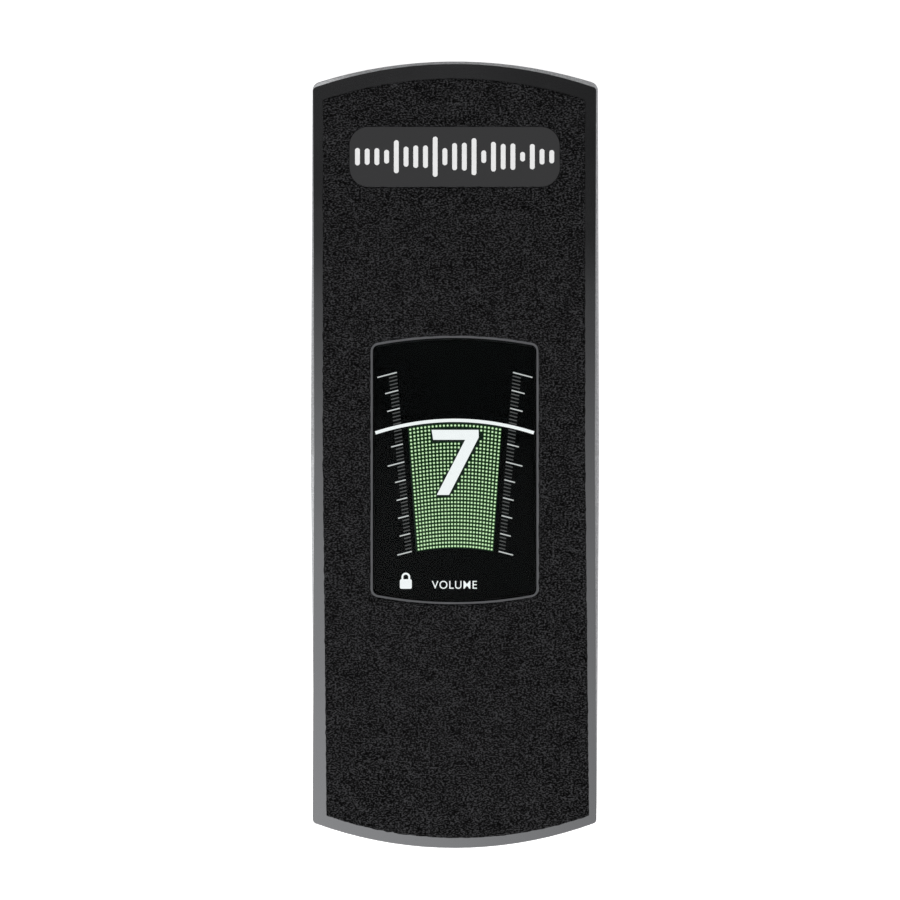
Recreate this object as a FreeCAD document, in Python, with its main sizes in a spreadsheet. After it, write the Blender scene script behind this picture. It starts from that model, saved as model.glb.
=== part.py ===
"""Volume pedal with a touch display, as a parametric FreeCAD document (millimetres).

The origin is on the floor, under the middle of the pedal. +X points right, +Y towards the toe and +Z up.
A treadle rocks on an axle in the base. A cord between two posts under the treadle is wound on the shaft
of a potentiometer, so the treadle's tilt turns the shaft. The treadle is drawn level.
"""
import FreeCAD, Part
import math
import os
import re
from collections import namedtuple

import Sketcher

SIZES = {
    # treadle: the footplate that rocks
    "treadle_width": 90.7,
    "treadle_length": 250.6,
    "treadle_toe_radius": 136.6,
    "treadle_heel_radius": 129.7,
    "treadle_waist": 0.45,
    "treadle_corner": 1.5,
    "treadle_rim": 0.25,
    "treadle_top": 58.0,
    "treadle_gauge": 4.0,
    "skirt_depth": 10.0,
    "skirt_wall": 3.0,
    "heel_down": 12.0,
    "toe_down": 5.0,
    # pivot
    "pivot_height": 38.0,
    "axle_radius": 4.0,
    "running_gap": 0.04,
    "ear_gauge": 4.0,
    "ear_radius": 9.0,
    "ear_root": 34.0,
    "ear_gap": 1.5,
    "bushing_wall": 2.0,
    "bushing_flange": 1.2,
    "clip_gauge": 0.8,
    "clip_width": 3.0,
    "side_gap": 0.3,
    # grip pad and badge
    "grip_gauge": 1.2,
    "grip_side_margin": 3.45,
    "grip_toe_margin": 4.8,
    "grip_heel_margin": 3.3,
    "grip_shift": 0.2,
    "grip_heel_shift": 1.0,
    "badge_width": 67.0,
    "badge_length": 19.0,
    "badge_corner": 6.0,
    "badge_gauge": 0.9,
    "badge_toe_inset": 29.8,
    # display
    "bezel_width": 53.5,
    "bezel_length": 85.6,
    "bezel_end_radius": 134.0,
    "bezel_corner": 2.6,
    "bezel_edge": 0.6,
    "bezel_proud": 0.9,
    "display_back": 4.5,
    "seat_depth": 1.8,
    "gasket_gauge": 0.4,
    "glass_gauge": 2.1,
    "seat_ledge": 1.1,
    "panel_gauge": 2.2,
    "board_gauge": 1.6,
    "tray_depth": 4.5,
    "tray_wall": 1.5,
    "tray_flange": 5.0,
    "slip_gap": 0.15,
    # base
    "base_side_step": 1.25,
    "base_end_step": 3.2,
    "base_end_radius": 150.0,
    "base_corner": 3.0,
    "base_wall": 3.0,
    "base_edge": 0.6,
    "wall_apex": 46.0,
    "wall_toe": 34.0,
    "wall_heel": 18.5,
    "foot_height": 3.0,
    "foot_radius": 7.0,
    "foot_inset": 11.0,
    "foot_end_inset": 17.5,
    "plate_gauge": 1.5,
    "plate_gap": 0.25,
    "boss_radius": 4.0,
    "boss_height": 11.0,
    "boss_inset": 6.5,
    # jack recess and shelves
    "shelf_gauge": 3.0,
    "toe_shelf_top": 32.5,
    "toe_shelf_depth": 22.5,
    "heel_shelf_top": 17.0,
    "heel_shelf_depth": 25.5,
    "recess_width": 64.0,
    "recess_depth": 13.5,
    "recess_floor": 6.5,
    "bumper_radius": 5.0,
    "bumper_spread": 22.0,
    "bumper_inset": 16.5,
    "bumper_gap": 0.3,
    # jacks and inlet
    "jack_height": 18.0,
    "jack_spread": 20.0,
    "jack_size": 15.6,
    "jack_depth": 22.0,
    "jack_bore": 3.25,
    "jack_thread": 4.75,
    "jack_reach": 5.0,
    "jack_nut": 12.6,
    "jack_nut_gauge": 2.4,
    "washer_gauge": 0.8,
    "washer_radius": 7.2,
    "inlet_width": 9.4,
    "inlet_depth": 14.0,
    "inlet_bore": 2.85,
    "inlet_pin": 1.05,
    "inlet_pin_length": 9.0,
    # main board
    "board_width": 70.0,
    "board_length": 50.0,
    "board_lift": 4.0,
    "board_hole_inset": 4.0,
    "standoff_radius": 2.6,
    # potentiometer and its bracket
    "pot_height": 18.0,
    "pot_radius": 12.0,
    "pot_depth": 10.0,
    "pot_thread": 4.5,
    "pot_thread_length": 8.0,
    "pot_nut": 12.0,
    "pot_nut_gauge": 2.4,
    "shaft_radius": 3.175,
    "shaft_length": 28.0,
    "bracket_gauge": 2.0,
    "bracket_width": 32.0,
    "bracket_offset": 14.0,
    "bracket_foot": 18.0,
    # cord drive
    "cord_radius": 0.5,
    "wrap_gap": 0.05,
    "winding_turns": 3.0,
    "collar_radius": 6.0,
    "collar_length": 3.0,
    "post_reach": 60.0,
    "post_radius": 2.0,
    "post_drop": 6.5,
    "spring_radius": 2.5,
    "spring_length": 14.0,
    "hook_length": 4.0,
    # fasteners: radius of shank and head, height of head
    "screw_radius": 1.5,
    "screw_head": 2.8,
    "screw_head_height": 1.8,
    "screw_length": 8.0,
    "small_screw_radius": 1.25,
    "small_screw_head": 2.2,
    "small_screw_head_height": 1.4,
    "small_screw_length": 4.0,
    "set_screw_radius": 1.0,
    # internal leads and the components on the main board
    "lead_radius": 1.1,
    "lead_exit_reach": 24.0,
    "lead_offset": 22.0,
    "connector_width": 8.0,
    "connector_length": 5.0,
    "connector_height": 4.4,
    "connector_inset": 3.0,
    "chip_size": 12.0,
    "chip_gauge": 1.2,
    "capacitor_radius": 3.0,
    "capacitor_height": 7.0,
}

# sizes that follow from the ones above
FOLLOWING = {
    "base_width": "treadle_width + 2 * base_side_step",
    "base_length": "treadle_length + 2 * base_end_step",
    "grip_width": "treadle_width - 2 * grip_side_margin",
    "badge_centre": "treadle_length / 2 - badge_toe_inset",
    "foot_reach": "base_length / 2 - foot_end_inset",
}

# heights that several pieces share
PLATE_TOP = "(foot_height + plate_gauge)"
UNDERSIDE = "(treadle_top - treadle_gauge)"
SKIRT_FOOT = "(treadle_top - skirt_depth)"
SEAT = "(treadle_top - seat_depth)"
GLASS_FOOT = f"({SEAT} + gasket_gauge)"
PANEL_FOOT = f"({SEAT} - panel_gauge)"
DISPLAY_BOARD_FOOT = f"({PANEL_FOOT} - board_gauge)"
TRAY_FOOT = f"({UNDERSIDE} - tray_depth)"
BOARD_FOOT = f"({PLATE_TOP} + board_lift)"
BOARD_TOP = f"({BOARD_FOOT} + board_gauge)"
WINDING_RADIUS = "(shaft_radius + wrap_gap + cord_radius)"

# distances from the middle
WALL_INSIDE = "(base_width / 2 - base_wall)"
EAR_OUTSIDE = f"({WALL_INSIDE} - ear_gap)"
EAR_INSIDE = f"({EAR_OUTSIDE} - ear_gauge)"
PANEL_FACE = "(base_length / 2 - recess_depth)"
PANEL_BACK = f"({PANEL_FACE} - base_wall)"
BOARD_TOE = f"({PANEL_BACK} - 1)"
BOARD_HEEL = f"({BOARD_TOE} - board_length)"
TOE_BUMPER = "(base_length / 2 - bumper_inset)"
BRACKET_FACE = "(-bracket_offset)"
POT_FACE = f"({BRACKET_FACE} - bracket_gauge)"
SHAFT_FOOT = f"({POT_FACE} + running_gap)"
WINDING_HALF = "(winding_turns * cord_radius)"
RUN_OFFSET = f"({WINDING_HALF} + cord_radius + wrap_gap)"
COLLAR_FACE = f"({RUN_OFFSET} + cord_radius + 2 * wrap_gap)"

# the cord's line from the shaft's underside to an eye on a post
EYE_HEIGHT = f"({UNDERSIDE} - post_drop)"
EYE_RISE = f"({EYE_HEIGHT} - pot_height)"
EYE_DISTANCE = f"sqrt(post_reach^2 + {EYE_RISE}^2)"
RUN_ANGLE = f"(atan({EYE_RISE} / post_reach) + asin({WINDING_RADIUS} / {EYE_DISTANCE}))"
RUN_LENGTH = f"sqrt({EYE_DISTANCE}^2 - {WINDING_RADIUS}^2)"

Vector = FreeCAD.Vector
UP = FreeCAD.Rotation()
DOWN = FreeCAD.Rotation(Vector(1, 0, 0), 180)
RIGHT = FreeCAD.Rotation(Vector(0, 0, 1), Vector(1, 0, 0))
LEFT = FreeCAD.Rotation(Vector(0, 0, 1), Vector(-1, 0, 0))
TOEWARD = FreeCAD.Rotation(Vector(0, 0, 1), Vector(0, 1, 0))
SIDES = (-1, 1)

Outline = namedtuple("Outline", "width length toe_radius heel_radius waist")

doc = FreeCAD.newDocument("volume_pedal")
sheet = doc.addObject("Spreadsheet::Sheet", "dims")
subparts = []


# ---------------------------------------------------------------- sheet and formulas

def fill_sheet():
    cells = SIZES | {alias: f"={text}" for alias, text in FOLLOWING.items()}
    for row, (alias, content) in enumerate(cells.items(), start=1):
        sheet.set(f"A{row}", alias)
        sheet.set(f"B{row}", str(content))
        sheet.setAlias(f"B{row}", alias)
    doc.recompute()


def formula(text):
    """A formula in size names, with each name pointing at its cell in the sheet."""
    names = SIZES.keys() | FOLLOWING.keys()
    return re.sub(r"[a-z][a-z_]*", lambda word: f"dims.{word[0]}" if word[0] in names else word[0], str(text))


def value(text):
    found = sheet.evalExpression(formula(text))
    return float(getattr(found, "Value", found))


def bind(thing, **formulas):
    for name, text in formulas.items():
        thing.setExpression(name, formula(text))
    return thing


def put(thing, at, turn=UP):
    thing.Placement = FreeCAD.Placement(Vector(*[value(text) for text in at]), turn)
    for axis, text in zip("xyz", at):
        thing.setExpression(f"Placement.Base.{axis}", formula(text))
    return thing


# ---------------------------------------------------------------- solids

def block(name, along_x, along_y, along_z):
    """A box from the low to the high formula on each axis."""
    box = doc.addObject("Part::Box", name)
    spans = [f"({high}) - ({low})" for low, high in (along_x, along_y, along_z)]
    bind(box, Length=spans[0], Width=spans[1], Height=spans[2])
    return put(box, (along_x[0], along_y[0], along_z[0]))


def rod(name, radius, length, at, turn=UP):
    cylinder = doc.addObject("Part::Cylinder", name)
    return put(bind(cylinder, Radius=radius, Height=length), at, turn)


def taper(name, foot, top, length, at, turn=UP):
    cone = doc.addObject("Part::Cone", name)
    return put(bind(cone, Radius1=foot, Radius2=top, Height=length), at, turn)


def hexagon(name, across, length, at, turn=UP):
    prism = doc.addObject("Part::Prism", name)
    prism.Polygon = 6
    return put(bind(prism, Circumradius=f"({across}) / 2 / cos(30)", Height=length), at, turn)


def fuse(name, *pieces):
    whole = doc.addObject("Part::MultiFuse", name)
    whole.Shapes = list(pieces)
    whole.Refine = False
    return whole


def common(name, piece, other):
    whole = doc.addObject("Part::Common", name)
    whole.Base = piece
    whole.Tool = other
    whole.Refine = False
    return whole


def cut(name, piece, *tools):
    """The piece with each tool taken away in turn."""
    for number, tool in enumerate(tools, start=1):
        whole = doc.addObject("Part::Cut", name if number == len(tools) else f"{name}_cut{number}")
        whole.Base = piece
        whole.Tool = tool
        whole.Refine = False
        piece = whole
    return piece


def group(name, pieces):
    """Identical pieces that share a node, as separate solids."""
    whole = doc.addObject("Part::Compound", name)
    whole.Links = pieces
    return whole


def ring(name, outer, inner, length, at, turn=UP):
    hole = rod(f"{name}_hole", inner, length, at, turn)
    return cut(name, rod(f"{name}_outer", outer, length, at, turn), hole)


def nut(name, across, inner, length, at, turn):
    hole = rod(f"{name}_hole", inner, length, at, turn)
    return cut(name, hexagon(f"{name}_hex", across, length, at, turn), hole)


def screw(name, size, at, turn=UP):
    """A socket screw whose head's underside is at the given point; its head points along the turn."""
    head = rod(f"{name}_head", f"{size}_head", f"{size}_head_height", at, turn)
    shank = rod(f"{name}_shank", f"{size}_radius", f"{size}_length", at, turn * DOWN)
    socket = hexagon(f"{name}_socket", f"{size}_radius", f"{size}_head_height", at, turn)
    sign = 1 if turn.multVec(Vector(0, 0, 1)).z > 0 else -1
    put(socket, (at[0], at[1], f"({at[2]}) + {sign} * {size}_head_height / 2"), turn)
    return cut(name, fuse(f"{name}_blank", head, shank), socket)


# ---------------------------------------------------------------- sketched bodies

def new_body(name, plane, offset):
    """A body with one sketch on an origin plane, moved along the plane's normal."""
    body = doc.addObject("PartDesign::Body", name)
    sketch = body.newObject("Sketcher::SketchObject", f"{name}_sketch")
    support = next(item for item in body.Origin.OriginFeatures if item.Role == plane)
    sketch.AttachmentSupport = [(support, "")]
    sketch.MapMode = "FlatFace"
    sketch.setExpression("AttachmentOffset.Base.z", formula(offset))
    return body, sketch


def pad(body, sketch, length):
    solid = body.newObject("PartDesign::Pad", f"{body.Name}_pad")
    solid.Profile = sketch
    bind(solid, Length=length)
    doc.recompute()
    return body


def round_edges(body, name, radius, wanted):
    """Fillets the body's edges that the test picks."""
    base = body.Tip
    edges = [f"Edge{i}" for i, edge in enumerate(base.Shape.Edges, start=1) if wanted(edge)]
    rounded = body.newObject("PartDesign::Fillet", f"{body.Name}_{name}")
    rounded.Base = (base, edges)
    bind(rounded, Radius=radius)
    doc.recompute()
    return body


def upright(edge):
    low, high = edge.BoundBox.ZMin, edge.BoundBox.ZMax
    flat = max(edge.BoundBox.XLength, edge.BoundBox.YLength)
    return flat < 1e-3 and high - low > 1e-3


def pin_point(sketch, geometry, end, name, x, y):
    """Holds a point of the sketch at two formulas."""
    for kind, axis, text in (("DistanceX", "x", x), ("DistanceY", "y", y)):
        index = sketch.addConstraint(Sketcher.Constraint(kind, -1, 1, geometry, end, value(text)))
        sketch.renameConstraint(index, f"{name}_{axis}")
        sketch.setExpression(f"Constraints.{name}_{axis}", formula(text))


def arc_between(sketch, start, end, radius, name):
    """An anticlockwise arc of the given radius between two points, less than half a turn."""
    first, last = (Vector(value(x), value(y)) for x, y in (start, end))
    chord = last - first
    half = chord.Length / 2
    size = value(radius)
    normal = Vector(-chord.y, chord.x).normalize()
    centre = first + chord / 2 + normal * math.sqrt(size**2 - half**2)
    angles = [math.atan2(point.y - centre.y, point.x - centre.x) for point in (first, last)]
    circle = Part.Circle(centre, Vector(0, 0, 1), size)
    index = sketch.addGeometry(Part.ArcOfCircle(circle, angles[0], angles[1]))
    bound = sketch.addConstraint(Sketcher.Constraint("Radius", index, size))
    sketch.renameConstraint(bound, name)
    sketch.setExpression(f"Constraints.{name}", formula(radius))
    return index


def line_between(sketch, start, end):
    first, last = (Vector(value(x), value(y)) for x, y in (start, end))
    return sketch.addGeometry(Part.LineSegment(first, last))


def draw_loop(sketch, corners, bends):
    """A closed loop, anticlockwise: each side is a line, or an outward arc where a bend radius is given."""
    sides = []
    for number, (start, bend) in enumerate(zip(corners, bends)):
        end = corners[(number + 1) % len(corners)]
        if bend is None:
            sides.append(line_between(sketch, start, end))
        else:
            sides.append(arc_between(sketch, start, end, bend, f"bend{number}"))
    for number, (x, y) in enumerate(corners):
        sketch.addConstraint(Sketcher.Constraint("Coincident", sides[number - 1], 2, sides[number], 1))
        pin_point(sketch, sides[number], 1, f"corner{number}", x, y)


def draw_outline(sketch, outline, back="0"):
    """A footplate shape: an arc at the toe and one at the heel, with sides that draw in at the waist."""
    half = f"({outline.width}) / 2"
    toe = f"({outline.length}) / 2 - ({outline.toe_radius})"
    heel = f"({outline.length}) / 2 - ({outline.heel_radius})"
    toe_corner = f"{toe} + sqrt(({outline.toe_radius})^2 - ({half})^2) - ({back})"
    heel_corner = f"-({heel}) - sqrt(({outline.heel_radius})^2 - ({half})^2) - ({back})"
    right = [(half, heel_corner), (half, toe_corner)]
    left = [(f"-{half}", toe_corner), (f"-{half}", heel_corner)]
    if outline.waist != "0":
        right.insert(1, (f"{half} - {outline.waist}", f"-({back})"))
        left.insert(1, (f"-{half} + {outline.waist}", f"-({back})"))
    straight = [None] * (len(right) - 1)
    draw_loop(sketch, right + left, straight + [outline.toe_radius] + straight + [outline.heel_radius])


def inset(outline, by):
    """The same outline with every side moved in."""
    return Outline(
        f"({outline.width} - 2 * ({by}))",
        f"({outline.length} - 2 * ({by}))",
        f"({outline.toe_radius} - ({by}))",
        f"({outline.heel_radius} - ({by}))",
        outline.waist,
    )


def slab(name, outline, low, high, corner=None, back="0"):
    """A plate of a footplate outline, between two heights."""
    body, sketch = new_body(name, "XY_Plane", low)
    draw_outline(sketch, outline, back)
    pad(body, sketch, f"({high}) - ({low})")
    if corner:
        round_edges(body, "corners", corner, upright)
    return body


def prism_across(name, corners, half_width):
    """A side profile in Y and Z, as wide as the pedal."""
    body, sketch = new_body(name, "YZ_Plane", f"-({half_width})")
    draw_loop(sketch, corners, [None] * len(corners))
    return pad(body, sketch, f"2 * ({half_width})")


def rounded_block(name, width, length, low, high, corner, middle="0"):
    body, sketch = new_body(name, "XY_Plane", low)
    half, toe, heel = f"({width}) / 2", f"({middle}) + ({length}) / 2", f"({middle}) - ({length}) / 2"
    draw_loop(sketch, [(half, heel), (half, toe), (f"-{half}", toe), (f"-{half}", heel)], [None] * 4)
    pad(body, sketch, f"({high}) - ({low})")
    return round_edges(body, "corners", corner, upright)


def subpart(label, thing):
    thing.Label = label
    subparts.append(thing)
    return thing


TREADLE = Outline("treadle_width", "treadle_length", "treadle_toe_radius", "treadle_heel_radius",
                  "treadle_waist")
BASE = Outline("base_width", "base_length", "base_end_radius", "base_end_radius", "0")
BEZEL = Outline("bezel_width", "bezel_length", "bezel_end_radius", "bezel_end_radius", "0")


# ---------------------------------------------------------------- base

def base_housing():
    """A cast frame with a peaked top edge, a recess for the jacks and a shelf at each end."""
    outer = slab("base_outer", BASE, "foot_height", "wall_apex", "base_corner")
    peak = prism_across("base_peak", [
        ("-base_length", "-wall_apex"),
        ("base_length", "-wall_apex"),
        ("base_length", "wall_apex - 2 * (wall_apex - wall_toe)"),
        ("0", "wall_apex"),
        ("-base_length", "wall_apex - 2 * (wall_apex - wall_heel)"),
    ], "base_width")
    inner = slab("base_inner", inset(BASE, "base_wall"), "0", "wall_apex + 1")
    frame = cut("base_frame", outer, inner)
    half_recess = "(recess_width / 2 + base_wall)"
    toe_shelf = block("toe_shelf", (f"-{half_recess}", half_recess),
                      ("base_length / 2 - toe_shelf_depth", "base_length / 2"),
                      ("toe_shelf_top - shelf_gauge", "toe_shelf_top"))
    panel = block("jack_panel", (f"-{half_recess}", half_recess), (PANEL_BACK, "base_length / 2"),
                  (PLATE_TOP, "toe_shelf_top"))
    heel_shelf = block("heel_shelf", ("-base_width / 2", "base_width / 2"),
                       ("-base_length / 2", "heel_shelf_depth - base_length / 2"),
                       ("heel_shelf_top - shelf_gauge", "heel_shelf_top"))
    bosses = [
        rod(f"boss{number}", "boss_radius", "boss_height", (x, y, PLATE_TOP))
        for number, (x, y) in enumerate(plate_screw_places())
    ]
    filled = fuse("base_filled", frame, toe_shelf, panel, heel_shelf, *bosses)
    limit = slab("base_limit", BASE, "foot_height", "wall_apex", "base_corner")
    inside = common("base_inside", filled, limit)
    cast = common("base_cast", inside, peak)
    recess = block("jack_recess", ("-recess_width / 2", "recess_width / 2"), (PANEL_FACE, "base_length"),
                   ("recess_floor", "toe_shelf_top - shelf_gauge"))
    axle_start = ("-base_width", "0", "pivot_height")
    tools = [recess, rod("axle_hole", "axle_radius", "2 * base_width", axle_start, RIGHT)]
    for number, x in enumerate(("-jack_spread", "jack_spread")):
        tools.append(rod(f"jack_hole{number}", "jack_thread", "2 * recess_depth",
                         (x, f"{PANEL_BACK} - 1", "jack_height"), TOEWARD))
    tools.append(rod("inlet_hole", "inlet_bore + 1.2", "2 * recess_depth",
                     ("0", f"{PANEL_BACK} - 1", "jack_height"), TOEWARD))
    for number, (x, y) in enumerate(plate_screw_places()):
        tools.append(rod(f"boss_hole{number}", "screw_radius", "boss_height - 2", (x, y, PLATE_TOP)))
    bored = cut("base_bored", cast, *tools)
    doc.recompute()
    rounded = doc.addObject("Part::Fillet", "base_housing")
    rounded.Base = bored
    radius = value("base_edge")
    edges = enumerate(bored.Shape.Edges, start=1)
    rounded.Edges = [(i, radius, radius) for i, edge in edges if on_top_edge(edge)]
    subpart("base_housing", rounded)


def on_top_edge(edge):
    """Whether an edge runs along the outside of the peaked top of the walls."""
    points = [edge.valueAt(edge.FirstParameter), edge.valueAt(edge.LastParameter)]
    middle = edge.valueAt((edge.FirstParameter + edge.LastParameter) / 2)
    for point in points + [middle]:
        low = value("wall_toe" if point.y > 0 else "wall_heel")
        peak = value("wall_apex") - abs(point.y) / value("base_length / 2") * (value("wall_apex") - low)
        if abs(point.z - peak) > 0.02:
            return False
    inside = value("base_wall / 2")
    across, along = value("base_width / 2"), value("base_length / 2")
    return abs(middle.x) > across - inside or abs(middle.y) > along - inside


def plate_screw_places():
    """The screws that hold the base plate, three along each wall."""
    across = "(base_width / 2 - boss_inset)"
    toe = "(base_length / 2 - toe_shelf_depth - boss_radius - 6)"
    heel = "(heel_shelf_depth + boss_radius - base_length / 2)"
    return [(f"{side} * {across}", y) for y in (heel, "(-ear_root - 4)", toe) for side in SIDES]


def base_plate():
    inner = inset(BASE, "base_wall + plate_gap")
    plate = slab("plate_blank", inner, "foot_height", PLATE_TOP, "plate_gap * 4")
    holes = [
        rod(f"plate_hole{number}", "screw_radius + slip_gap", "plate_gauge", (x, y, "foot_height"))
        for number, (x, y) in enumerate(plate_screw_places())
    ]
    subpart("base_plate", cut("base_plate", plate, *holes))
    screws = [screw(f"plate_screw{number}", "screw", (x, y, "foot_height"), DOWN)
              for number, (x, y) in enumerate(plate_screw_places())]
    subpart("base_plate_screws", group("base_plate_screws", screws))


def rubber_feet():
    across = "(base_width / 2 - base_wall - foot_inset)"
    feet = [
        taper(f"foot{x}{y}", "foot_radius * 0.88", "foot_radius", "foot_height",
              (f"{x} * {across}", f"{y} * foot_reach", "0"))
        for x in SIDES for y in SIDES
    ]
    subpart("rubber_feet", group("rubber_feet", feet))


def bumpers():
    """Rubber stops on the shelves, just short of the treadle's underside at each end of its travel."""
    rise = f"({UNDERSIDE} - pivot_height)"
    ends = {
        "toe": (TOE_BUMPER, "toe_down", "toe_shelf_top", 1),
        "heel": (TOE_BUMPER, "heel_down", "heel_shelf_top", -1),
    }
    for end, (reach, angle, shelf, sign) in ends.items():
        top = f"pivot_height + {rise} / cos({angle}) - ({reach} + bumper_radius) * tan({angle}) - bumper_gap"
        pair = [
            taper(f"{end}_bumper{side}", "bumper_radius", "bumper_radius * 0.8", f"{top} - {shelf}",
                  (f"{side} * bumper_spread", f"{sign} * {reach}", shelf))
            for side in SIDES
        ]
        subpart(f"{end}_bumpers", group(f"{end}_bumpers", pair))


def axle():
    length = "(base_width - 1)"
    axle_at = (f"-{length} / 2", "0", "pivot_height")
    subpart("pivot_axle", rod("pivot_axle", "axle_radius", length, axle_at, RIGHT))
    start = f"({EAR_INSIDE} - side_gap - clip_gauge)"
    clips = [
        ring(name, "axle_radius + clip_width", "axle_radius", "clip_gauge", (x, "0", "pivot_height"), turn)
        for name, x, turn in (("right_clip", start, RIGHT), ("left_clip", f"-{start}", LEFT))]
    subpart("axle_clips", group("axle_clips", clips))


# ---------------------------------------------------------------- jacks, inlet and main board

def jack(name, x):
    """A board-mounted jack whose threaded bushing is held in the panel by a washer and a nut."""
    half = "jack_size / 2"
    hollow = "(jack_bore + 0.35)"
    back = f"{PANEL_BACK} - jack_depth"
    body = block(f"{name}_block", (f"{x} - {half}", f"{x} + {half}"), (back, PANEL_BACK),
                 (BOARD_TOP, f"2 * jack_height - {BOARD_TOP}"))
    cavity = rod(f"{name}_cavity", hollow, "jack_depth - 2", (x, f"{back} + 2", "jack_height"), TOEWARD)
    subpart(f"{name}_body", cut(f"{name}_body", body, cavity))
    at = (x, PANEL_BACK, "jack_height")
    subpart(f"{name}_bushing",
            ring(f"{name}_bushing", "jack_thread", "jack_bore", "base_wall + jack_reach", at, TOEWARD))
    at = (x, PANEL_FACE, "jack_height")
    subpart(f"{name}_washer",
            ring(f"{name}_washer", "washer_radius", "jack_thread", "washer_gauge", at, TOEWARD))
    at = (x, f"{PANEL_FACE} + washer_gauge", "jack_height")
    subpart(f"{name}_nut", nut(f"{name}_nut", "jack_nut", "jack_thread", "jack_nut_gauge", at, TOEWARD))


def dc_inlet():
    half = "inlet_width / 2"
    body = block("inlet_block", (f"-{half}", half), (f"{PANEL_BACK} - inlet_depth", PANEL_BACK),
                 (BOARD_TOP, f"2 * jack_height - {BOARD_TOP} - 2"))
    start = f"{PANEL_BACK} - inlet_pin_length - 1"
    cavity = rod("inlet_cavity", "inlet_bore", "inlet_pin_length + 1", ("0", start, "jack_height"), TOEWARD)
    subpart("dc_inlet_body", cut("dc_inlet_body", body, cavity))
    pin = rod("dc_inlet_pin", "inlet_pin", "inlet_pin_length", ("0", start, "jack_height"), TOEWARD)
    subpart("dc_inlet_pin", pin)


def board_corners():
    across = "(board_width / 2 - board_hole_inset)"
    return [(f"{side} * {across}", y) for side in SIDES
            for y in (f"{BOARD_HEEL} + board_hole_inset", f"{BOARD_TOE} - board_hole_inset")]


def main_board():
    blank = block("board_blank", ("-board_width / 2", "board_width / 2"), (BOARD_HEEL, BOARD_TOE),
                  (BOARD_FOOT, BOARD_TOP))
    holes = [rod(f"board_hole{number}", "small_screw_radius + slip_gap", "board_gauge", (x, y, BOARD_FOOT))
             for number, (x, y) in enumerate(board_corners())]
    subpart("main_board", cut("main_board", blank, *holes))
    posts = [ring(f"standoff{number}", "standoff_radius", "small_screw_radius", "board_lift",
                  (x, y, PLATE_TOP)) for number, (x, y) in enumerate(board_corners())]
    subpart("board_standoffs", group("board_standoffs", posts))
    screws = [screw(f"board_screw{number}", "small_screw", (x, y, BOARD_TOP))
              for number, (x, y) in enumerate(board_corners())]
    subpart("board_screws", group("board_screws", screws))


def on_board(name, x, behind, width, length, height):
    """A square-sided component on the main board; behind is its distance from the board's heel edge."""
    low = f"({BOARD_HEEL} + {behind})"
    return block(name, (f"{x} - {width} / 2", f"{x} + {width} / 2"), (low, f"{low} + {length}"),
                 (BOARD_TOP, f"{BOARD_TOP} + {height}"))


def board_components():
    for name, x in (("display_connector", "lead_offset"), ("pot_connector", "(-lead_offset)")):
        subpart(name, on_board(name, x, "connector_inset", "connector_width", "connector_length",
                               "connector_height"))
    chip = on_board("signal_processor", "0", "chip_size / 2", "chip_size", "chip_size", "chip_gauge")
    subpart("signal_processor", chip)
    behind = f"{BOARD_HEEL} + connector_inset + connector_length + 2 * capacitor_radius"
    cans = [rod(f"capacitor{number}", "capacitor_radius", "capacitor_height", (x, behind, BOARD_TOP))
            for number, x in enumerate(("-lead_offset", "lead_offset - 3 * capacitor_radius", "lead_offset"))]
    subpart("capacitors", group("capacitors", cans))


# ---------------------------------------------------------------- potentiometer and cord drive

def pot_bracket():
    half = "bracket_width / 2"
    wall = block("bracket_wall", (POT_FACE, BRACKET_FACE), (f"-{half}", half),
                 (PLATE_TOP, "pot_height + pot_radius - 1"))
    foot = block("bracket_foot_plate", (POT_FACE, f"{POT_FACE} + bracket_foot"), (f"-{half}", half),
                 (PLATE_TOP, f"{PLATE_TOP} + bracket_gauge"))
    hole = rod("bracket_hole", "pot_thread", "2 * bracket_gauge",
               (f"{POT_FACE} - 1", "0", "pot_height"), RIGHT)
    places = [(f"{BRACKET_FACE} + bracket_foot / 2", f"{side} * (bracket_width / 2 - 5)") for side in SIDES]
    drilled = [rod(f"bracket_drill{number}", "small_screw_radius + slip_gap", "bracket_gauge",
                   (x, y, PLATE_TOP)) for number, (x, y) in enumerate(places)]
    subpart("pot_bracket", cut("pot_bracket", fuse("bracket_bend", wall, foot), hole, *drilled))
    screws = []
    for number, (x, y) in enumerate(places):
        at = (x, y, f"{PLATE_TOP} + bracket_gauge")
        head = rod(f"bracket_screw_head{number}", "small_screw_head", "small_screw_head_height", at)
        shank = rod(f"bracket_screw_shank{number}", "small_screw_radius", "bracket_gauge", at, DOWN)
        screws.append(fuse(f"bracket_screw{number}", head, shank))
    subpart("bracket_screws", group("bracket_screws", screws))


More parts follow.
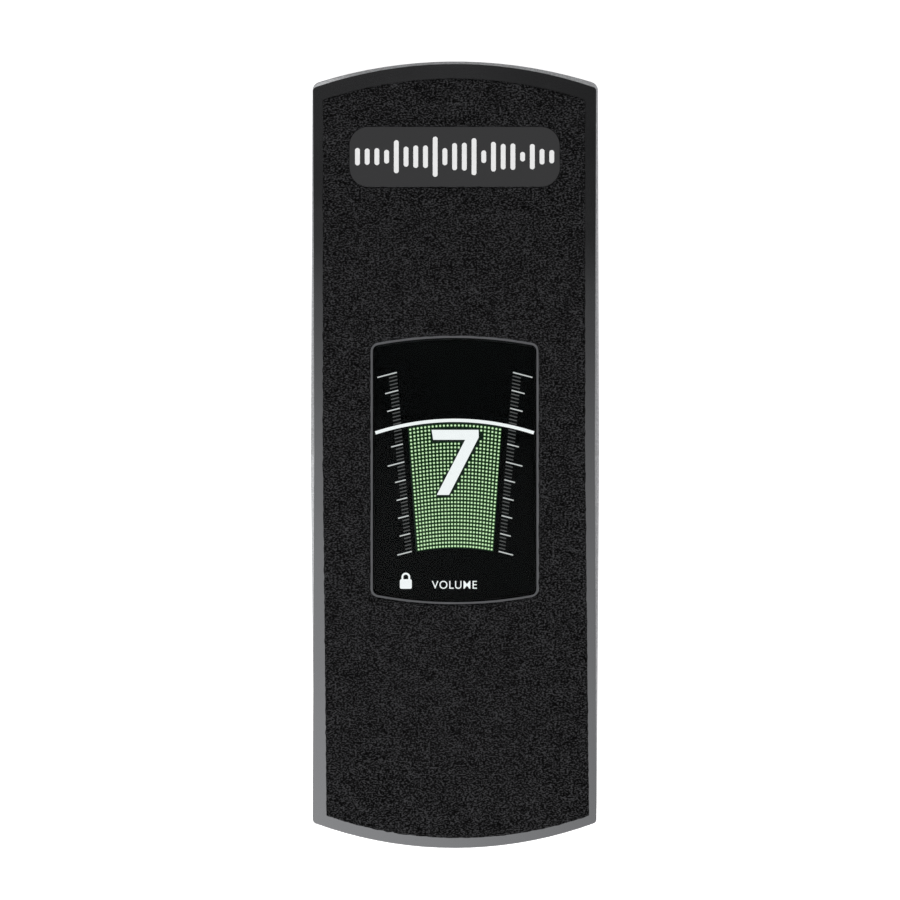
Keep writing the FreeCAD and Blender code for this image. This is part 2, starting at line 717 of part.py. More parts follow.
def potentiometer():
    """A can with a terminal strip, its threaded bushing, and the washer and nut in front of the bracket."""
    can = rod("pot_can", "pot_radius", "pot_depth", (f"{POT_FACE} - pot_depth", "0", "pot_height"), RIGHT)
    strip_end = "(pot_radius + 1)"
    strip = block("pot_strip", (f"{POT_FACE} - 5", f"{POT_FACE} - 2"), ("pot_radius * 0.7", strip_end),
                  ("pot_height - 7", "pot_height + 7"))
    subpart("pot_body", fuse("pot_body", can, strip))
    tabs = [
        block(f"pot_tab{row}", (f"{POT_FACE} - 4", f"{POT_FACE} - 3.2"), (strip_end, f"{strip_end} + 5"),
              (f"pot_height + {row} * 5 - 1", f"pot_height + {row} * 5 + 1"))
        for row in (-1, 0, 1)
    ]
    subpart("pot_terminals", group("pot_terminals", tabs))
    bore = "shaft_radius + running_gap"
    subpart("pot_bushing", ring("pot_bushing", "pot_thread", bore, "pot_thread_length",
                                (POT_FACE, "0", "pot_height"), RIGHT))
    at = (BRACKET_FACE, "0", "pot_height")
    subpart("pot_washer", ring("pot_washer", "washer_radius", "pot_thread", "washer_gauge", at, RIGHT))
    at = (f"{BRACKET_FACE} + washer_gauge", "0", "pot_height")
    subpart("pot_nut", nut("pot_nut", "pot_nut", "pot_thread", "pot_nut_gauge", at, RIGHT))


def pot_shaft():
    """The shaft, the cord's turns round it, and a collar with a set screw on each side of the turns."""
    shaft_at = (SHAFT_FOOT, "0", "pot_height")
    subpart("pot_shaft", rod("pot_shaft", "shaft_radius", "shaft_length", shaft_at, RIGHT))
    winding = ring("cord_winding", "shaft_radius + 2 * cord_radius", "shaft_radius", f"2 * {WINDING_HALF}",
                   (f"-{WINDING_HALF}", "0", "pot_height"), RIGHT)
    subpart("cord_winding", winding)
    collars, screws = [], []
    for side, turn in zip(SIDES, (LEFT, RIGHT)):
        middle = f"{side} * ({COLLAR_FACE} + collar_length / 2)"
        blank = ring(f"collar_blank{side}", "collar_radius", "shaft_radius", "collar_length",
                     (f"{side} * {COLLAR_FACE}", "0", "pot_height"), turn)
        drill = rod(f"collar_drill{side}", "set_screw_radius", "collar_radius", (middle, "0", "pot_height"))
        collars.append(cut(f"collar{side}", blank, drill))
        screws.append(rod(f"set_screw{side}", "set_screw_radius", "collar_radius - shaft_radius - 0.5",
                          (middle, "0", "pot_height + shaft_radius")))
    subpart("shaft_collars", group("shaft_collars", collars))
    subpart("collar_set_screws", group("collar_set_screws", screws))


def cord_line(name, side, radius, start, length, x):
    """A straight piece on the cord's line towards one post, from a distance along that line."""
    along = FreeCAD.Rotation(Vector(-side, 0, 0), 90 - value(RUN_ANGLE))
    piece = rod(name, radius, length, ("0", "0", "0"), along)
    for axis, text in cord_point(side, start, x).items():
        piece.setExpression(f"Placement.Base.{axis}", formula(text))
    piece.setExpression("Placement.Rotation.Angle", formula(f"90 deg - {RUN_ANGLE}"))
    return piece


def cord_point(side, along, x):
    return {
        "x": x,
        "y": f"{side} * ({WINDING_RADIUS} * sin({RUN_ANGLE}) + ({along}) * cos({RUN_ANGLE}))",
        "z": f"pot_height - {WINDING_RADIUS} * cos({RUN_ANGLE}) + ({along}) * sin({RUN_ANGLE})",
    }


def cord_drive():
    """Two runs of cord from the shaft to the posts; a hooked spring at the heel post keeps the cord tight."""
    post_face = f"({RUN_LENGTH} - (post_radius + cord_radius + wrap_gap) / cos({RUN_ANGLE}))"
    spring_end = f"({post_face} - hook_length - spring_length)"
    subpart("cord_toe_run", cord_line("cord_toe_run", 1, "cord_radius", "0", post_face, RUN_OFFSET))
    heel = f"-{RUN_OFFSET}"
    run_end = f"{spring_end} - wrap_gap"
    subpart("cord_heel_run", cord_line("cord_heel_run", -1, "cord_radius", "0", run_end, heel))
    coil = cord_line("spring_coil", -1, "spring_radius", spring_end, "spring_length", heel)
    hook = cord_line("spring_hook", -1, "cord_radius", f"{spring_end} + spring_length", "hook_length", heel)
    subpart("tension_spring", fuse("tension_spring", coil, hook))
    for name, side in (("toe_cord_post", 1), ("heel_cord_post", -1)):
        x = f"{side} * {RUN_OFFSET}"
        at = (x, f"{side} * post_reach", UNDERSIDE)
        subpart(name, rod(name, "post_radius", "post_drop + post_radius", at, DOWN))


# ---------------------------------------------------------------- treadle

def treadle_plate():
    """A cast plate with a skirt, two ears for the axle and a stepped window for the display."""
    outer = slab("treadle_outer", TREADLE, SKIRT_FOOT, "treadle_top", "treadle_corner")
    top = value("treadle_top")
    round_edges(outer, "rim", "treadle_rim", lambda edge: edge.BoundBox.ZMin > top - 1e-3)
    hollow = slab("treadle_hollow", inset(TREADLE, "skirt_wall"), f"{SKIRT_FOOT} - 1", UNDERSIDE)
    shell = cut("treadle_shell", outer, hollow)
    ears = []
    for side in SIDES:
        inside, outside = sorted((f"{side} * {EAR_INSIDE}", f"{side} * {EAR_OUTSIDE}"), key=value)
        web, sketch = new_body(f"ear_web{side}", "YZ_Plane", inside)
        draw_loop(sketch, [
            ("-ear_radius", "pivot_height"),
            ("ear_radius", "pivot_height"),
            ("ear_root / 2", UNDERSIDE),
            ("-ear_root / 2", UNDERSIDE),
        ], [None] * 4)
        ears.append(pad(web, sketch, "ear_gauge"))
        ears.append(rod(f"ear_eye{side}", "ear_radius", "ear_gauge", (inside, "0", "pivot_height"), RIGHT))
    solid = fuse("treadle_solid", shell, *ears)
    seat = slab("display_seat", inset(BEZEL, "-slip_gap"), SEAT, "treadle_top + 1", "bezel_corner",
                "display_back")
    window = slab("display_window", inset(BEZEL, "seat_ledge"), f"{UNDERSIDE} - 1", "treadle_top", "1",
                  "display_back")
    bores = rod("ear_bores", "axle_radius + running_gap + bushing_wall", "2 * base_width",
                ("-base_width", "0", "pivot_height"), RIGHT)
    holes = [rod(f"tray_thread{number}", "small_screw_radius", "small_screw_length - tray_wall",
                 (x, y, UNDERSIDE)) for number, (x, y) in enumerate(tray_screw_places())]
    return subpart("treadle_plate", cut("treadle_plate", solid, seat, window, keep_to_ears(bores), *holes))


def keep_to_ears(bores):
    """The bore through both ears, kept off the rest of the treadle."""
    room = block("ear_room", (f"-{EAR_OUTSIDE} - 1", f"{EAR_OUTSIDE} + 1"), ("-ear_radius", "ear_radius"),
                 ("pivot_height - ear_radius", "pivot_height + ear_radius"))
    return common("ear_bore", bores, room)


def pivot_bushings():
    outer = "axle_radius + running_gap + bushing_wall"
    bore = "axle_radius + running_gap"
    pair = []
    for side, turn in zip(SIDES, (LEFT, RIGHT)):
        start = (f"{side} * {EAR_INSIDE}", "0", "pivot_height")
        flange_at = (f"{side} * {EAR_OUTSIDE}", "0", "pivot_height")
        sleeve = rod(f"sleeve{side}", outer, "ear_gauge", start, turn)
        flange = rod(f"flange{side}", "ear_radius", "bushing_flange", flange_at, turn)
        hole = rod(f"bushing_hole{side}", bore, "ear_gauge + bushing_flange", start, turn)
        pair.append(cut(f"bushing{side}", fuse(f"bushing_blank{side}", sleeve, flange), hole))
    subpart("pivot_bushings", group("pivot_bushings", pair))


def grip_pad():
    """The coarse pad, with windows for the display and the badge. Its heel half lies a little askew."""
    body, sketch = new_body("grip_blank", "XY_Plane", "treadle_top")
    half = "(grip_width / 2)"
    toe_radius = "(treadle_toe_radius - grip_toe_margin)"
    heel_radius = "(treadle_heel_radius - grip_heel_margin)"
    toe = f"treadle_length / 2 - treadle_toe_radius + sqrt({toe_radius}^2 - {half}^2)"
    heel = f"-(treadle_length / 2 - treadle_heel_radius + sqrt({heel_radius}^2 - {half}^2))"
    draw_loop(sketch, [
        (f"{half} + grip_heel_shift", heel),
        (f"{half} - grip_shift", "0"),
        (f"{half} - grip_shift", toe),
        (f"-{half} - grip_shift", toe),
        (f"-{half} - grip_shift", "0"),
        (f"-{half} + grip_heel_shift", heel),
    ], [None, None, toe_radius, None, None, heel_radius])
    pad(body, sketch, "grip_gauge")
    window = slab("grip_window", inset(BEZEL, "-slip_gap"), "treadle_top - 1", "treadle_top + grip_gauge + 1",
                  "bezel_corner", "display_back")
    badge = rounded_block("badge_window", "badge_width + 2 * slip_gap", "badge_length + 2 * slip_gap",
                          "treadle_top - 1", "treadle_top + grip_gauge + 1", "badge_corner", "badge_centre")
    subpart("grip_pad", cut("grip_pad", body, window, badge))
    subpart("badge_plate", rounded_block("badge_plate", "badge_width", "badge_length", "treadle_top",
                                         "treadle_top + badge_gauge", "badge_corner", "badge_centre"))


def display():
    """Bezel, gasket and glass in the treadle's seat, with the panel and its board under the glass."""
    edge = inset(BEZEL, "bezel_edge")
    frame = slab("bezel_frame", BEZEL, SEAT, "treadle_top + bezel_proud", "bezel_corner", "display_back")
    opening = slab("bezel_opening", edge, f"{SEAT} - 1", "treadle_top + bezel_proud + 1",
                   "bezel_corner - bezel_edge", "display_back")
    subpart("display_bezel", cut("display_bezel", frame, opening))
    glass = inset(BEZEL, "bezel_edge + running_gap")
    subpart("display_glass", slab("display_glass", glass, GLASS_FOOT, f"{GLASS_FOOT} + glass_gauge",
                                  "bezel_corner - bezel_edge", "display_back"))
    pad_ring = slab("gasket_blank", glass, SEAT, GLASS_FOOT, "bezel_corner - bezel_edge", "display_back")
    view = slab("gasket_view", inset(BEZEL, "seat_ledge"), f"{SEAT} - 1", f"{GLASS_FOOT} + 1", "1",
                "display_back")
    subpart("display_gasket", cut("display_gasket", pad_ring, view))
    panel = inset(BEZEL, "seat_ledge + slip_gap")
    subpart("display_panel", slab("display_panel", panel, PANEL_FOOT, GLASS_FOOT, "1", "display_back"))
    subpart("display_board", slab("display_board", inset(panel, "1"), DISPLAY_BOARD_FOOT, PANEL_FOOT, "1",
                                  "display_back"))


TRAY_SIZE = ("(bezel_width - 2 * seat_ledge + 2 * tray_wall)",
             "(bezel_length - 2 * seat_ledge + 2 * tray_wall)")


def tray_screw_places():
    across = f"({TRAY_SIZE[0]} / 2 + tray_flange / 2)"
    along = f"({TRAY_SIZE[1]} / 2 - 8)"
    return [(f"{x} * {across}", f"{y} * {along} - display_back") for x in SIDES for y in SIDES]


def display_tray():
    """The cover behind the display: a shallow tray with a screwed flange on each side."""
    cup = rounded_block("tray_cup", *TRAY_SIZE, TRAY_FOOT, UNDERSIDE, "2", "-display_back")
    flange = rounded_block("tray_flanges", f"{TRAY_SIZE[0]} + 2 * tray_flange", TRAY_SIZE[1],
                           f"{UNDERSIDE} - tray_wall", UNDERSIDE, "2", "-display_back")
    room = rounded_block("tray_room", f"{TRAY_SIZE[0]} - 2 * tray_wall", f"{TRAY_SIZE[1]} - 2 * tray_wall",
                         f"{TRAY_FOOT} + tray_wall", f"{UNDERSIDE} + 1", "1", "-display_back")
    holes = [rod(f"tray_hole{number}", "small_screw_radius + slip_gap", "tray_wall",
                 (x, y, f"{UNDERSIDE} - tray_wall")) for number, (x, y) in enumerate(tray_screw_places())]
    exit_hole = rod("lead_exit", "lead_radius + slip_gap", "tray_depth",
                    ("lead_offset - 4", "lead_exit_reach", f"{TRAY_FOOT} - 1"))
    subpart("display_tray", cut("display_tray", fuse("tray_blank", cup, flange), room, exit_hole, *holes))
    screws = [screw(f"tray_screw{number}", "small_screw", (x, y, f"{UNDERSIDE} - tray_wall"), DOWN)
              for number, (x, y) in enumerate(tray_screw_places())]
    subpart("tray_screws", group("tray_screws", screws))


# ---------------------------------------------------------------- leads

def lead(name, points, radius):
    """A round lead: straight runs joined by tangent arcs, each as large as its two runs allow."""
    edges, start = [], points[0]
    for before, corner, after in zip(points, points[1:], points[2:]):
        back, ahead = before - corner, after - corner
        half_turn = (math.pi - back.getAngle(ahead)) / 2
        reach = 0.45 * min(back.Length, ahead.Length)
        bend = reach / math.tan(half_turn)
        print(f"{name}: bend radius {bend:.1f} mm")
        first = corner + back.normalize() * reach
        last = corner + ahead.normalize() * reach
        inward = (back + ahead).normalize()
        middle = corner + inward * (bend / math.cos(half_turn) - bend)
        edges.append(Part.LineSegment(start, first).toShape())
        edges.append(Part.Arc(first, middle, last).toShape())
        start = last
    edges.append(Part.LineSegment(start, points[-1]).toShape())
    path = Part.Wire(edges)
    section = Part.Wire(Part.Circle(points[0], points[1] - points[0], radius).toShape())
    tube = path.makePipeShell([section], True, False)
    print(f"{name}: volume {tube.Volume:.1f}, section times length {math.pi * radius**2 * path.Length:.1f}")
    thing = doc.addObject("Part::Feature", name)
    thing.Shape = tube
    return subpart(name, thing)


def leads():
    tray = value(f"{TRAY_FOOT} + tray_wall")
    plug_height = value(f"{BOARD_TOP} + connector_height / 2")
    plug_back = value(f"{BOARD_HEEL} + connector_inset")
    x = value("lead_offset")
    start, start_x = value("lead_exit_reach"), x - 4
    lead("display_lead", [
        Vector(start_x, start, tray),
        Vector(start_x, start + 0.5, tray - 11),
        Vector(start_x + 1, start + 5, tray - 21),
        Vector(x - 1, start + 14, tray - 30),
        Vector(x, plug_back - 12, plug_height),
        Vector(x, plug_back, plug_height),
    ], value("lead_radius"))
    x, tab, height = -x, value("pot_radius") + 6, value("pot_height")
    tab_x = value(f"{POT_FACE} - 3.6")
    lead("pot_lead", [
        Vector(tab_x, tab, height),
        Vector(tab_x, tab + 12, height),
        Vector(x, plug_back - 14, plug_height),
        Vector(x, plug_back, plug_height),
    ], value("lead_radius"))


# ---------------------------------------------------------------- checks and export

def check():
    for thing in doc.Objects:
        bad = [state for state in thing.State if state in ("Invalid", "Error")]
        if bad:
            raise RuntimeError(f"{thing.Name} is {bad}")
    for thing in subparts:
        if thing.Shape.isNull() or not thing.Shape.isValid() or not thing.Shape.Solids:
            raise RuntimeError(f"{thing.Label} has no valid solid")


def export():
    os.makedirs("parts", exist_ok=True)
    for thing in subparts:
        thing.Shape.exportStep(f"parts/{thing.Label}.step")
    print(f"{len(subparts)} sub-parts")


def build():
    fill_sheet()
    base_housing()
    base_plate()
    rubber_feet()
    bumpers()
    axle()
    jack("input_jack", "jack_spread")
    jack("output_jack", "-jack_spread")
    dc_inlet()
    main_board()
    board_components()
    pot_bracket()
    potentiometer()
    pot_shaft()
    cord_drive()
    treadle_plate()
    pivot_bushings()
    grip_pad()
    display()
    display_tray()
    leads()
    doc.recompute()
    check()
    export()


build()
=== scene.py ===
"""The looks of a volume pedal: a rocking treadle with a grip sheet and a lit level display, on a cast base.

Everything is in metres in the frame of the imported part: +Y is the toe end, +Z is up, the feet stand on z = 0.
"""

import math

import bmesh
import bpy
from bpy.props import FloatProperty, FloatVectorProperty, IntProperty, PointerProperty
from mathutils import Matrix, Vector, noise


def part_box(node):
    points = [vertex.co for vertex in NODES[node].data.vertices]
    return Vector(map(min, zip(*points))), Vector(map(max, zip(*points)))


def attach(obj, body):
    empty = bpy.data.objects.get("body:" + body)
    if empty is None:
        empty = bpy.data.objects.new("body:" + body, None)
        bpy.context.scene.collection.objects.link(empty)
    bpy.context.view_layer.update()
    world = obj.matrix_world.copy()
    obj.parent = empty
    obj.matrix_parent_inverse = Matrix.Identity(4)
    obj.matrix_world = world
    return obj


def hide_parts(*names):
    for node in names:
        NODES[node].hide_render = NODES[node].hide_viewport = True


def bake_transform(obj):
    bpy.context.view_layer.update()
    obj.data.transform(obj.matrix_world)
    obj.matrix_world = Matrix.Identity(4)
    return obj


bl_info = {
    "name": "Volume Pedal Looks",
    "version": (1, 0, 0),
    "blender": (4, 5, 0),
    "location": "View3D > Sidebar > Volume Pedal",
    "description": "Dresses the packed volume pedal: grip sheet, lit display, cords, spring, finishes and stage",
    "category": "Object",
}

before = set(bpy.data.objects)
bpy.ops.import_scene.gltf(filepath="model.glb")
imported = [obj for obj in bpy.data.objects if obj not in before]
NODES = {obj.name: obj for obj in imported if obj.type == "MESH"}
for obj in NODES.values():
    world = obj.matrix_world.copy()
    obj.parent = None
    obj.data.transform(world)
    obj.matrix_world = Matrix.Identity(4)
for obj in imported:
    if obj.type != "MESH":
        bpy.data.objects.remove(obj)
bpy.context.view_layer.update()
MM = 0.001


def linear(code):
    """The linear colour of an sRGB hex code."""
    parts = [int(code[i:i + 2], 16) / 255 for i in (0, 2, 4)]
    return tuple(p / 12.92 if p <= 0.04045 else ((p + 0.055) / 1.055) ** 2.4 for p in parts)


# ---------------------------------------------------------------- sizes and colours a user would change

def length(name, description, default):
    """A length property, in metres."""
    return FloatProperty(name=name, description=description, default=default, min=0.0, unit="LENGTH", precision=5)


def colour(name, description, code):
    """A colour property, from its sRGB hex code."""
    return FloatVectorProperty(name=name, description=description, subtype="COLOR", size=3,
                               min=0.0, max=1.0, default=linear(code))


class PedalSizes(bpy.types.PropertyGroup):
    """Sizes of the pieces that are made here."""

    grip_cell: length("Grip cell", "Spacing of the grip sheet's surface points", 0.00047)
    grip_relief: length("Grip relief", "Height from the pits to the top of the grit", 0.0005)
    grit: length("Grit", "Width of one grain of grit", 0.0006)
    bar_pitch: length("Bar pitch", "Spacing of the bars on the badge", 0.0031)
    bar_width: length("Bar width", "Width of one bar on the badge", 0.0016)
    bar_count: IntProperty(name="Bars", description="Number of bars on the badge", default=21, min=3, max=41)
    dot: length("Dot", "Width of one lit dot of the display", 0.0006)
    level_width: length("Level line", "Width of the lit level line", 0.00105)
    wire: length("Spring wire", "Thickness of the tension spring's wire", 0.0006)
    cord: length("Cord", "Thickness of the drive cord", 0.001)


class PedalColours(bpy.types.PropertyGroup):
    """Colours of the finishes."""

    aluminium: colour("Aluminium", "Anodised aluminium of the treadle", "C6C7CA")
    housing: colour("Housing", "Silver enamel of the base", "DCDDDF")
    grit: colour("Grit", "Top of the grip sheet's grains", "1B1B1C")
    badge: colour("Badge", "Badge plate", "363637")
    lit_white: colour("Lit white", "Numeral, level line and scale", "FFFFFF")
    lit_green: colour("Lit green", "Dots of the level field", "DDFACB")
    halo: colour("Halo", "Green glow round each dot", "2F6A20")
    field: colour("Field", "Ground behind the dots", "02180A")


def sizes():
    """The sizes as they are set now."""
    return bpy.context.scene.pedal_sizes


def colours():
    """The colours as they are set now."""
    return bpy.context.scene.pedal_colours


# ---------------------------------------------------------------- making pieces

def box_centre(node):
    """The centre of a node's box."""
    low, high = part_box(node)
    return (low + high) / 2


def turn_to(direction):
    """The rotation that takes +Z to a direction."""
    return Vector(direction).to_track_quat("Z", "Y").to_matrix().to_4x4()


def finish_piece(bm, name, material, body, smooth=35.0, outward=True):
    """Turns a bmesh into a piece that rides on a body, or on none yet, smooth up to an angle in degrees."""
    if outward:
        bmesh.ops.recalc_face_normals(bm, faces=bm.faces[:])
    mesh = bpy.data.meshes.new(name)
    bm.to_mesh(mesh)
    bm.free()
    for polygon in mesh.polygons:
        polygon.use_smooth = smooth > 0
    if smooth > 0:
        mesh.set_sharp_from_angle(angle=math.radians(smooth))
    mesh.materials.append(material)
    piece = bpy.data.objects.new(name, mesh)
    bpy.context.scene.collection.objects.link(piece)
    if body:
        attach(piece, body)
    return piece


def merged_copy(node):
    """A bmesh of a node's shape with its loose triangles joined."""
    bm = bmesh.new()
    bm.from_mesh(NODES[node].data)
    bmesh.ops.remove_doubles(bm, verts=bm.verts[:], dist=1e-6)
    return bm


def add_block(bm, low, high, turn=None):
    """A box between two corners, turned about its centre."""
    low, high = Vector(low), Vector(high)
    place = Matrix.Translation((low + high) / 2) @ (turn or Matrix.Identity(4))
    bmesh.ops.create_cube(bm, size=1.0, matrix=place @ Matrix.Diagonal((*(high - low), 1.0)))


def add_band(bm, centre, radius, width, start, end, low, high, steps):
    """A flat band along an arc about a vertical axis, from one angle to another (from +X, in radians)."""
    place = (Matrix.Translation((*centre, (low + high) / 2)) @ Matrix.Rotation(start, 4, "Z")
             @ Matrix.Translation((radius, 0, 0)) @ Matrix.Rotation(math.pi / 2, 4, "X"))
    section = bmesh.ops.create_grid(bm, x_segments=1, y_segments=1, size=0.5,
                                    matrix=place @ Matrix.Diagonal((width, high - low, 1, 1)))["verts"]
    bmesh.ops.spin(bm, geom=section[0].link_faces[:], cent=(*centre, low), axis=(0, 0, 1), angle=end - start,
                   steps=steps)


def thicken(bm, faces, depth):
    """Raises a copy of flat faces, and walls them in."""
    raised = bmesh.ops.extrude_face_region(bm, geom=faces)["geom"]
    bmesh.ops.translate(bm, verts=[g for g in raised if isinstance(g, bmesh.types.BMVert)], vec=(0, 0, depth))


def add_coil(bm, place, radius, wire, turns, rise, per_turn=20, sides=8):
    """A coil about its own +Z from z = 0, put at a place; rise is the length of all its turns."""
    ring = bmesh.ops.create_circle(bm, segments=sides, radius=wire / 2, cap_ends=True,
                                   matrix=Matrix.Translation((radius, 0, 0))
                                   @ Matrix.Rotation(math.pi / 2, 4, "X"))["verts"]
    steps = max(4, round(per_turn * turns))
    faces = ring[0].link_faces[:]
    before = set(bm.verts) - set(ring)
    bmesh.ops.spin(bm, geom=faces, cent=(0, 0, 0), axis=(0, 0, 1), angle=2 * math.pi * turns, steps=steps,
                   dvec=(0, 0, rise / steps))
    bmesh.ops.transform(bm, matrix=place, verts=[v for v in bm.verts if v not in before])


def add_rod(bm, start, end, radius, sides):
    """A round rod between two points."""
    start, end = Vector(start), Vector(end)
    place = Matrix.Translation((start + end) / 2) @ turn_to(end - start)
    bmesh.ops.create_cone(bm, cap_ends=True, segments=sides, radius1=radius, radius2=radius,
                          depth=(end - start).length, matrix=place)


# ---------------------------------------------------------------- making finishes

SMOOTH = {"interpolation_type": "SMOOTHSTEP"}
COLOURS = {"data_type": "RGBA", "out": 2}


def add(tree, kind, feeds, out=0, to=None, **settings):
    """Adds a node with its settings and links, and gives back one of its outputs.

    Its feeds are inputs by name or number, each a value or another node's output. A Mix of colours takes its
    factor at 0 and its colours at 6 and 7. The output is linked on to an input where one is given.
    """
    made = tree.nodes.new("ShaderNode" + kind)
    for name, value in settings.items():
        setattr(made, name, value)
    for name, value in feeds.items():
        socket = made.inputs[name]
        if isinstance(value, bpy.types.NodeSocket):
            tree.links.new(value, socket)
        else:
            socket.default_value = value
    if to:
        tree.links.new(made.outputs[out], to)
    return made.outputs[out] if made.outputs else None


def rgba(value):
    """A colour with full alpha, from its sRGB hex code or its linear parts."""
    return (*(linear(value) if isinstance(value, str) else value[:3]), 1.0)


def shade(value, factor):
    """A colour made darker or lighter, with full alpha."""
    return (*(min(1.0, factor * c) for c in value[:3]), 1.0)


def new_finish(name, base, metallic, roughness, **more):
    """A new finish: its material, its tree, its shader's inputs, and its Object coordinates."""
    material = bpy.data.materials.new(name)
    material.use_nodes = True
    material.diffuse_color = rgba(base)
    tree = material.node_tree
    tree.nodes.clear()
    surface = add(tree, "BsdfPrincipled", {"Base Color": rgba(base), "Metallic": metallic,
                                           "Roughness": roughness, **more})
    add(tree, "OutputMaterial", {"Surface": surface})
    return material, tree, surface.node.inputs, add(tree, "TexCoord", {}, "Object")


def anodised_aluminium():
    """Die-cast aluminium, ground and clear anodised: a soft mirror, with a faint grind and rubbed patches."""
    material, tree, shader, place = new_finish("anodised_aluminium", colours().aluminium, 1.0, 0.12)
    along = add(tree, "Mapping", {"Vector": place, "Scale": (9, 1, 1)})
    grind = add(tree, "TexNoise", {"Vector": along, "Scale": 0.5 / 0.0012, "Detail": 2.0, "Roughness": 0.55})
    add(tree, "Bump", {"Height": grind, "Distance": 0.000003, "Strength": 0.35}, to=shader["Normal"])
    rubbed = add(tree, "TexNoise", {"Vector": place, "Scale": 0.5 / 0.02, "Detail": 4.0, "Roughness": 0.55})
    add(tree, "MapRange", {"Value": rubbed, "From Min": 0.3, "From Max": 0.75, "To Min": 0.1, "To Max": 0.15},
        to=shader["Roughness"], **SMOOTH)
    return material


def silver_enamel():
    """Die-cast zinc with baked silver enamel: metal flake under a soft gloss, with a slight orange-peel."""
    material, tree, shader, place = new_finish("silver_enamel", colours().housing, 0.15, 0.42)
    flake = add(tree, "TexVoronoi", {"Vector": place, "Scale": 1 / 0.00035}, "Color")
    glint = add(tree, "MapRange", {"Value": add(tree, "SeparateColor", {"Color": flake})}, **SMOOTH)
    add(tree, "Mix", {0: glint, 6: shade(colours().housing, 0.86), 7: shade(colours().housing, 1.1)},
        to=shader["Base Color"], **COLOURS)
    worn = add(tree, "TexNoise", {"Vector": place, "Scale": 0.5 / 0.012, "Detail": 4.0, "Roughness": 0.55})
    add(tree, "MapRange", {"Value": worn, "From Min": 0.3, "From Max": 0.7, "To Min": 0.38, "To Max": 0.5},
        to=shader["Roughness"], **SMOOTH)
    peel = add(tree, "TexNoise", {"Vector": place, "Scale": 0.5 / 0.0012, "Detail": 2.0, "Roughness": 0.55})
    add(tree, "Bump", {"Height": peel, "Distance": 0.00002, "Strength": 0.4}, to=shader["Normal"])
    return material


def zinc_plate():
    """Steel sheet, electroplated with zinc: grey with a cool bloom and faint rolling lines."""
    material, tree, shader, place = new_finish("zinc_plated_steel", "B4B8BD", 1.0, 0.33)
    bloom = add(tree, "TexNoise", {"Vector": place, "Scale": 0.5 / 0.009, "Detail": 5.0, "Roughness": 0.6})
    tint = add(tree, "MapRange", {"Value": bloom, "From Min": 0.35, "From Max": 0.65}, **SMOOTH)
    add(tree, "Mix", {0: tint, 6: rgba("A2A7AE"), 7: rgba("C2C4C2")}, to=shader["Base Color"], **COLOURS)
    add(tree, "MapRange", {"Value": bloom, "From Min": 0.3, "From Max": 0.7, "To Min": 0.42, "To Max": 0.27},
        to=shader["Roughness"], **SMOOTH)
    along = add(tree, "Mapping", {"Vector": place, "Scale": (1, 0.06, 1)})
    lines = add(tree, "TexNoise", {"Vector": along, "Scale": 0.5 / 0.0006, "Detail": 2.0, "Roughness": 0.55})
    add(tree, "Bump", {"Height": lines, "Distance": 0.000008, "Strength": 0.4}, to=shader["Normal"])
    return material


def black_oxide():
    """Steel screws, blacked with hot oxide: near black with a dull sheen, rubbed brighter in spots."""
    material, tree, shader, place = new_finish("black_oxide_steel", "2A2A2C", 1.0, 0.42)
    rub = add(tree, "TexNoise", {"Vector": place, "Scale": 0.5 / 0.0014, "Detail": 4.0, "Roughness": 0.55})
    bare = add(tree, "MapRange", {"Value": rub, "From Min": 0.45, "From Max": 0.75}, **SMOOTH)
    add(tree, "Mix", {0: bare, 6: rgba("232325"), 7: rgba("4A4A4C")}, to=shader["Base Color"], **COLOURS)
    add(tree, "MapRange", {"Value": rub, "From Min": 0.4, "From Max": 0.8, "To Min": 0.5, "To Max": 0.32},
        to=shader["Roughness"], **SMOOTH)
    return material


def moulded_rubber():
    """Moulded rubber: dead black, dusty in patches, with a fine moulding grain."""
    material, tree, shader, place = new_finish("moulded_rubber", "1B1B1B", 0.0, 0.82)
    patches = add(tree, "TexNoise", {"Vector": place, "Scale": 0.5 / 0.004, "Detail": 5.0, "Roughness": 0.55})
    dust = add(tree, "MapRange", {"Value": patches, "From Min": 0.4, "From Max": 0.8}, **SMOOTH)
    add(tree, "Mix", {0: dust, 6: rgba("181818"), 7: rgba("2B2A29")}, to=shader["Base Color"], **COLOURS)
    grain = add(tree, "TexNoise", {"Vector": place, "Scale": 0.5 / 0.0003, "Detail": 3.0, "Roughness": 0.55})
    add(tree, "Bump", {"Height": grain, "Distance": 0.00004, "Strength": 0.6}, to=shader["Normal"])
    return material


def turned_steel():
    """Bright steel bar, turned and polished: a clear mirror broken by fine rings."""
    material, tree, shader, place = new_finish("turned_steel", "C3C5C8", 1.0, 0.16)
    around = add(tree, "Mapping", {"Vector": place, "Scale": (4, 0.2, 0.2)})
    rings = add(tree, "TexNoise", {"Vector": around, "Scale": 0.5 / 0.00025, "Detail": 2.0, "Roughness": 0.55})
    add(tree, "MapRange", {"Value": rings, "From Min": 0.3, "From Max": 0.7, "To Min": 0.11, "To Max": 0.24},
        to=shader["Roughness"], **SMOOTH)
    add(tree, "Bump", {"Height": rings, "Distance": 0.000004, "Strength": 0.35}, to=shader["Normal"])
    return material


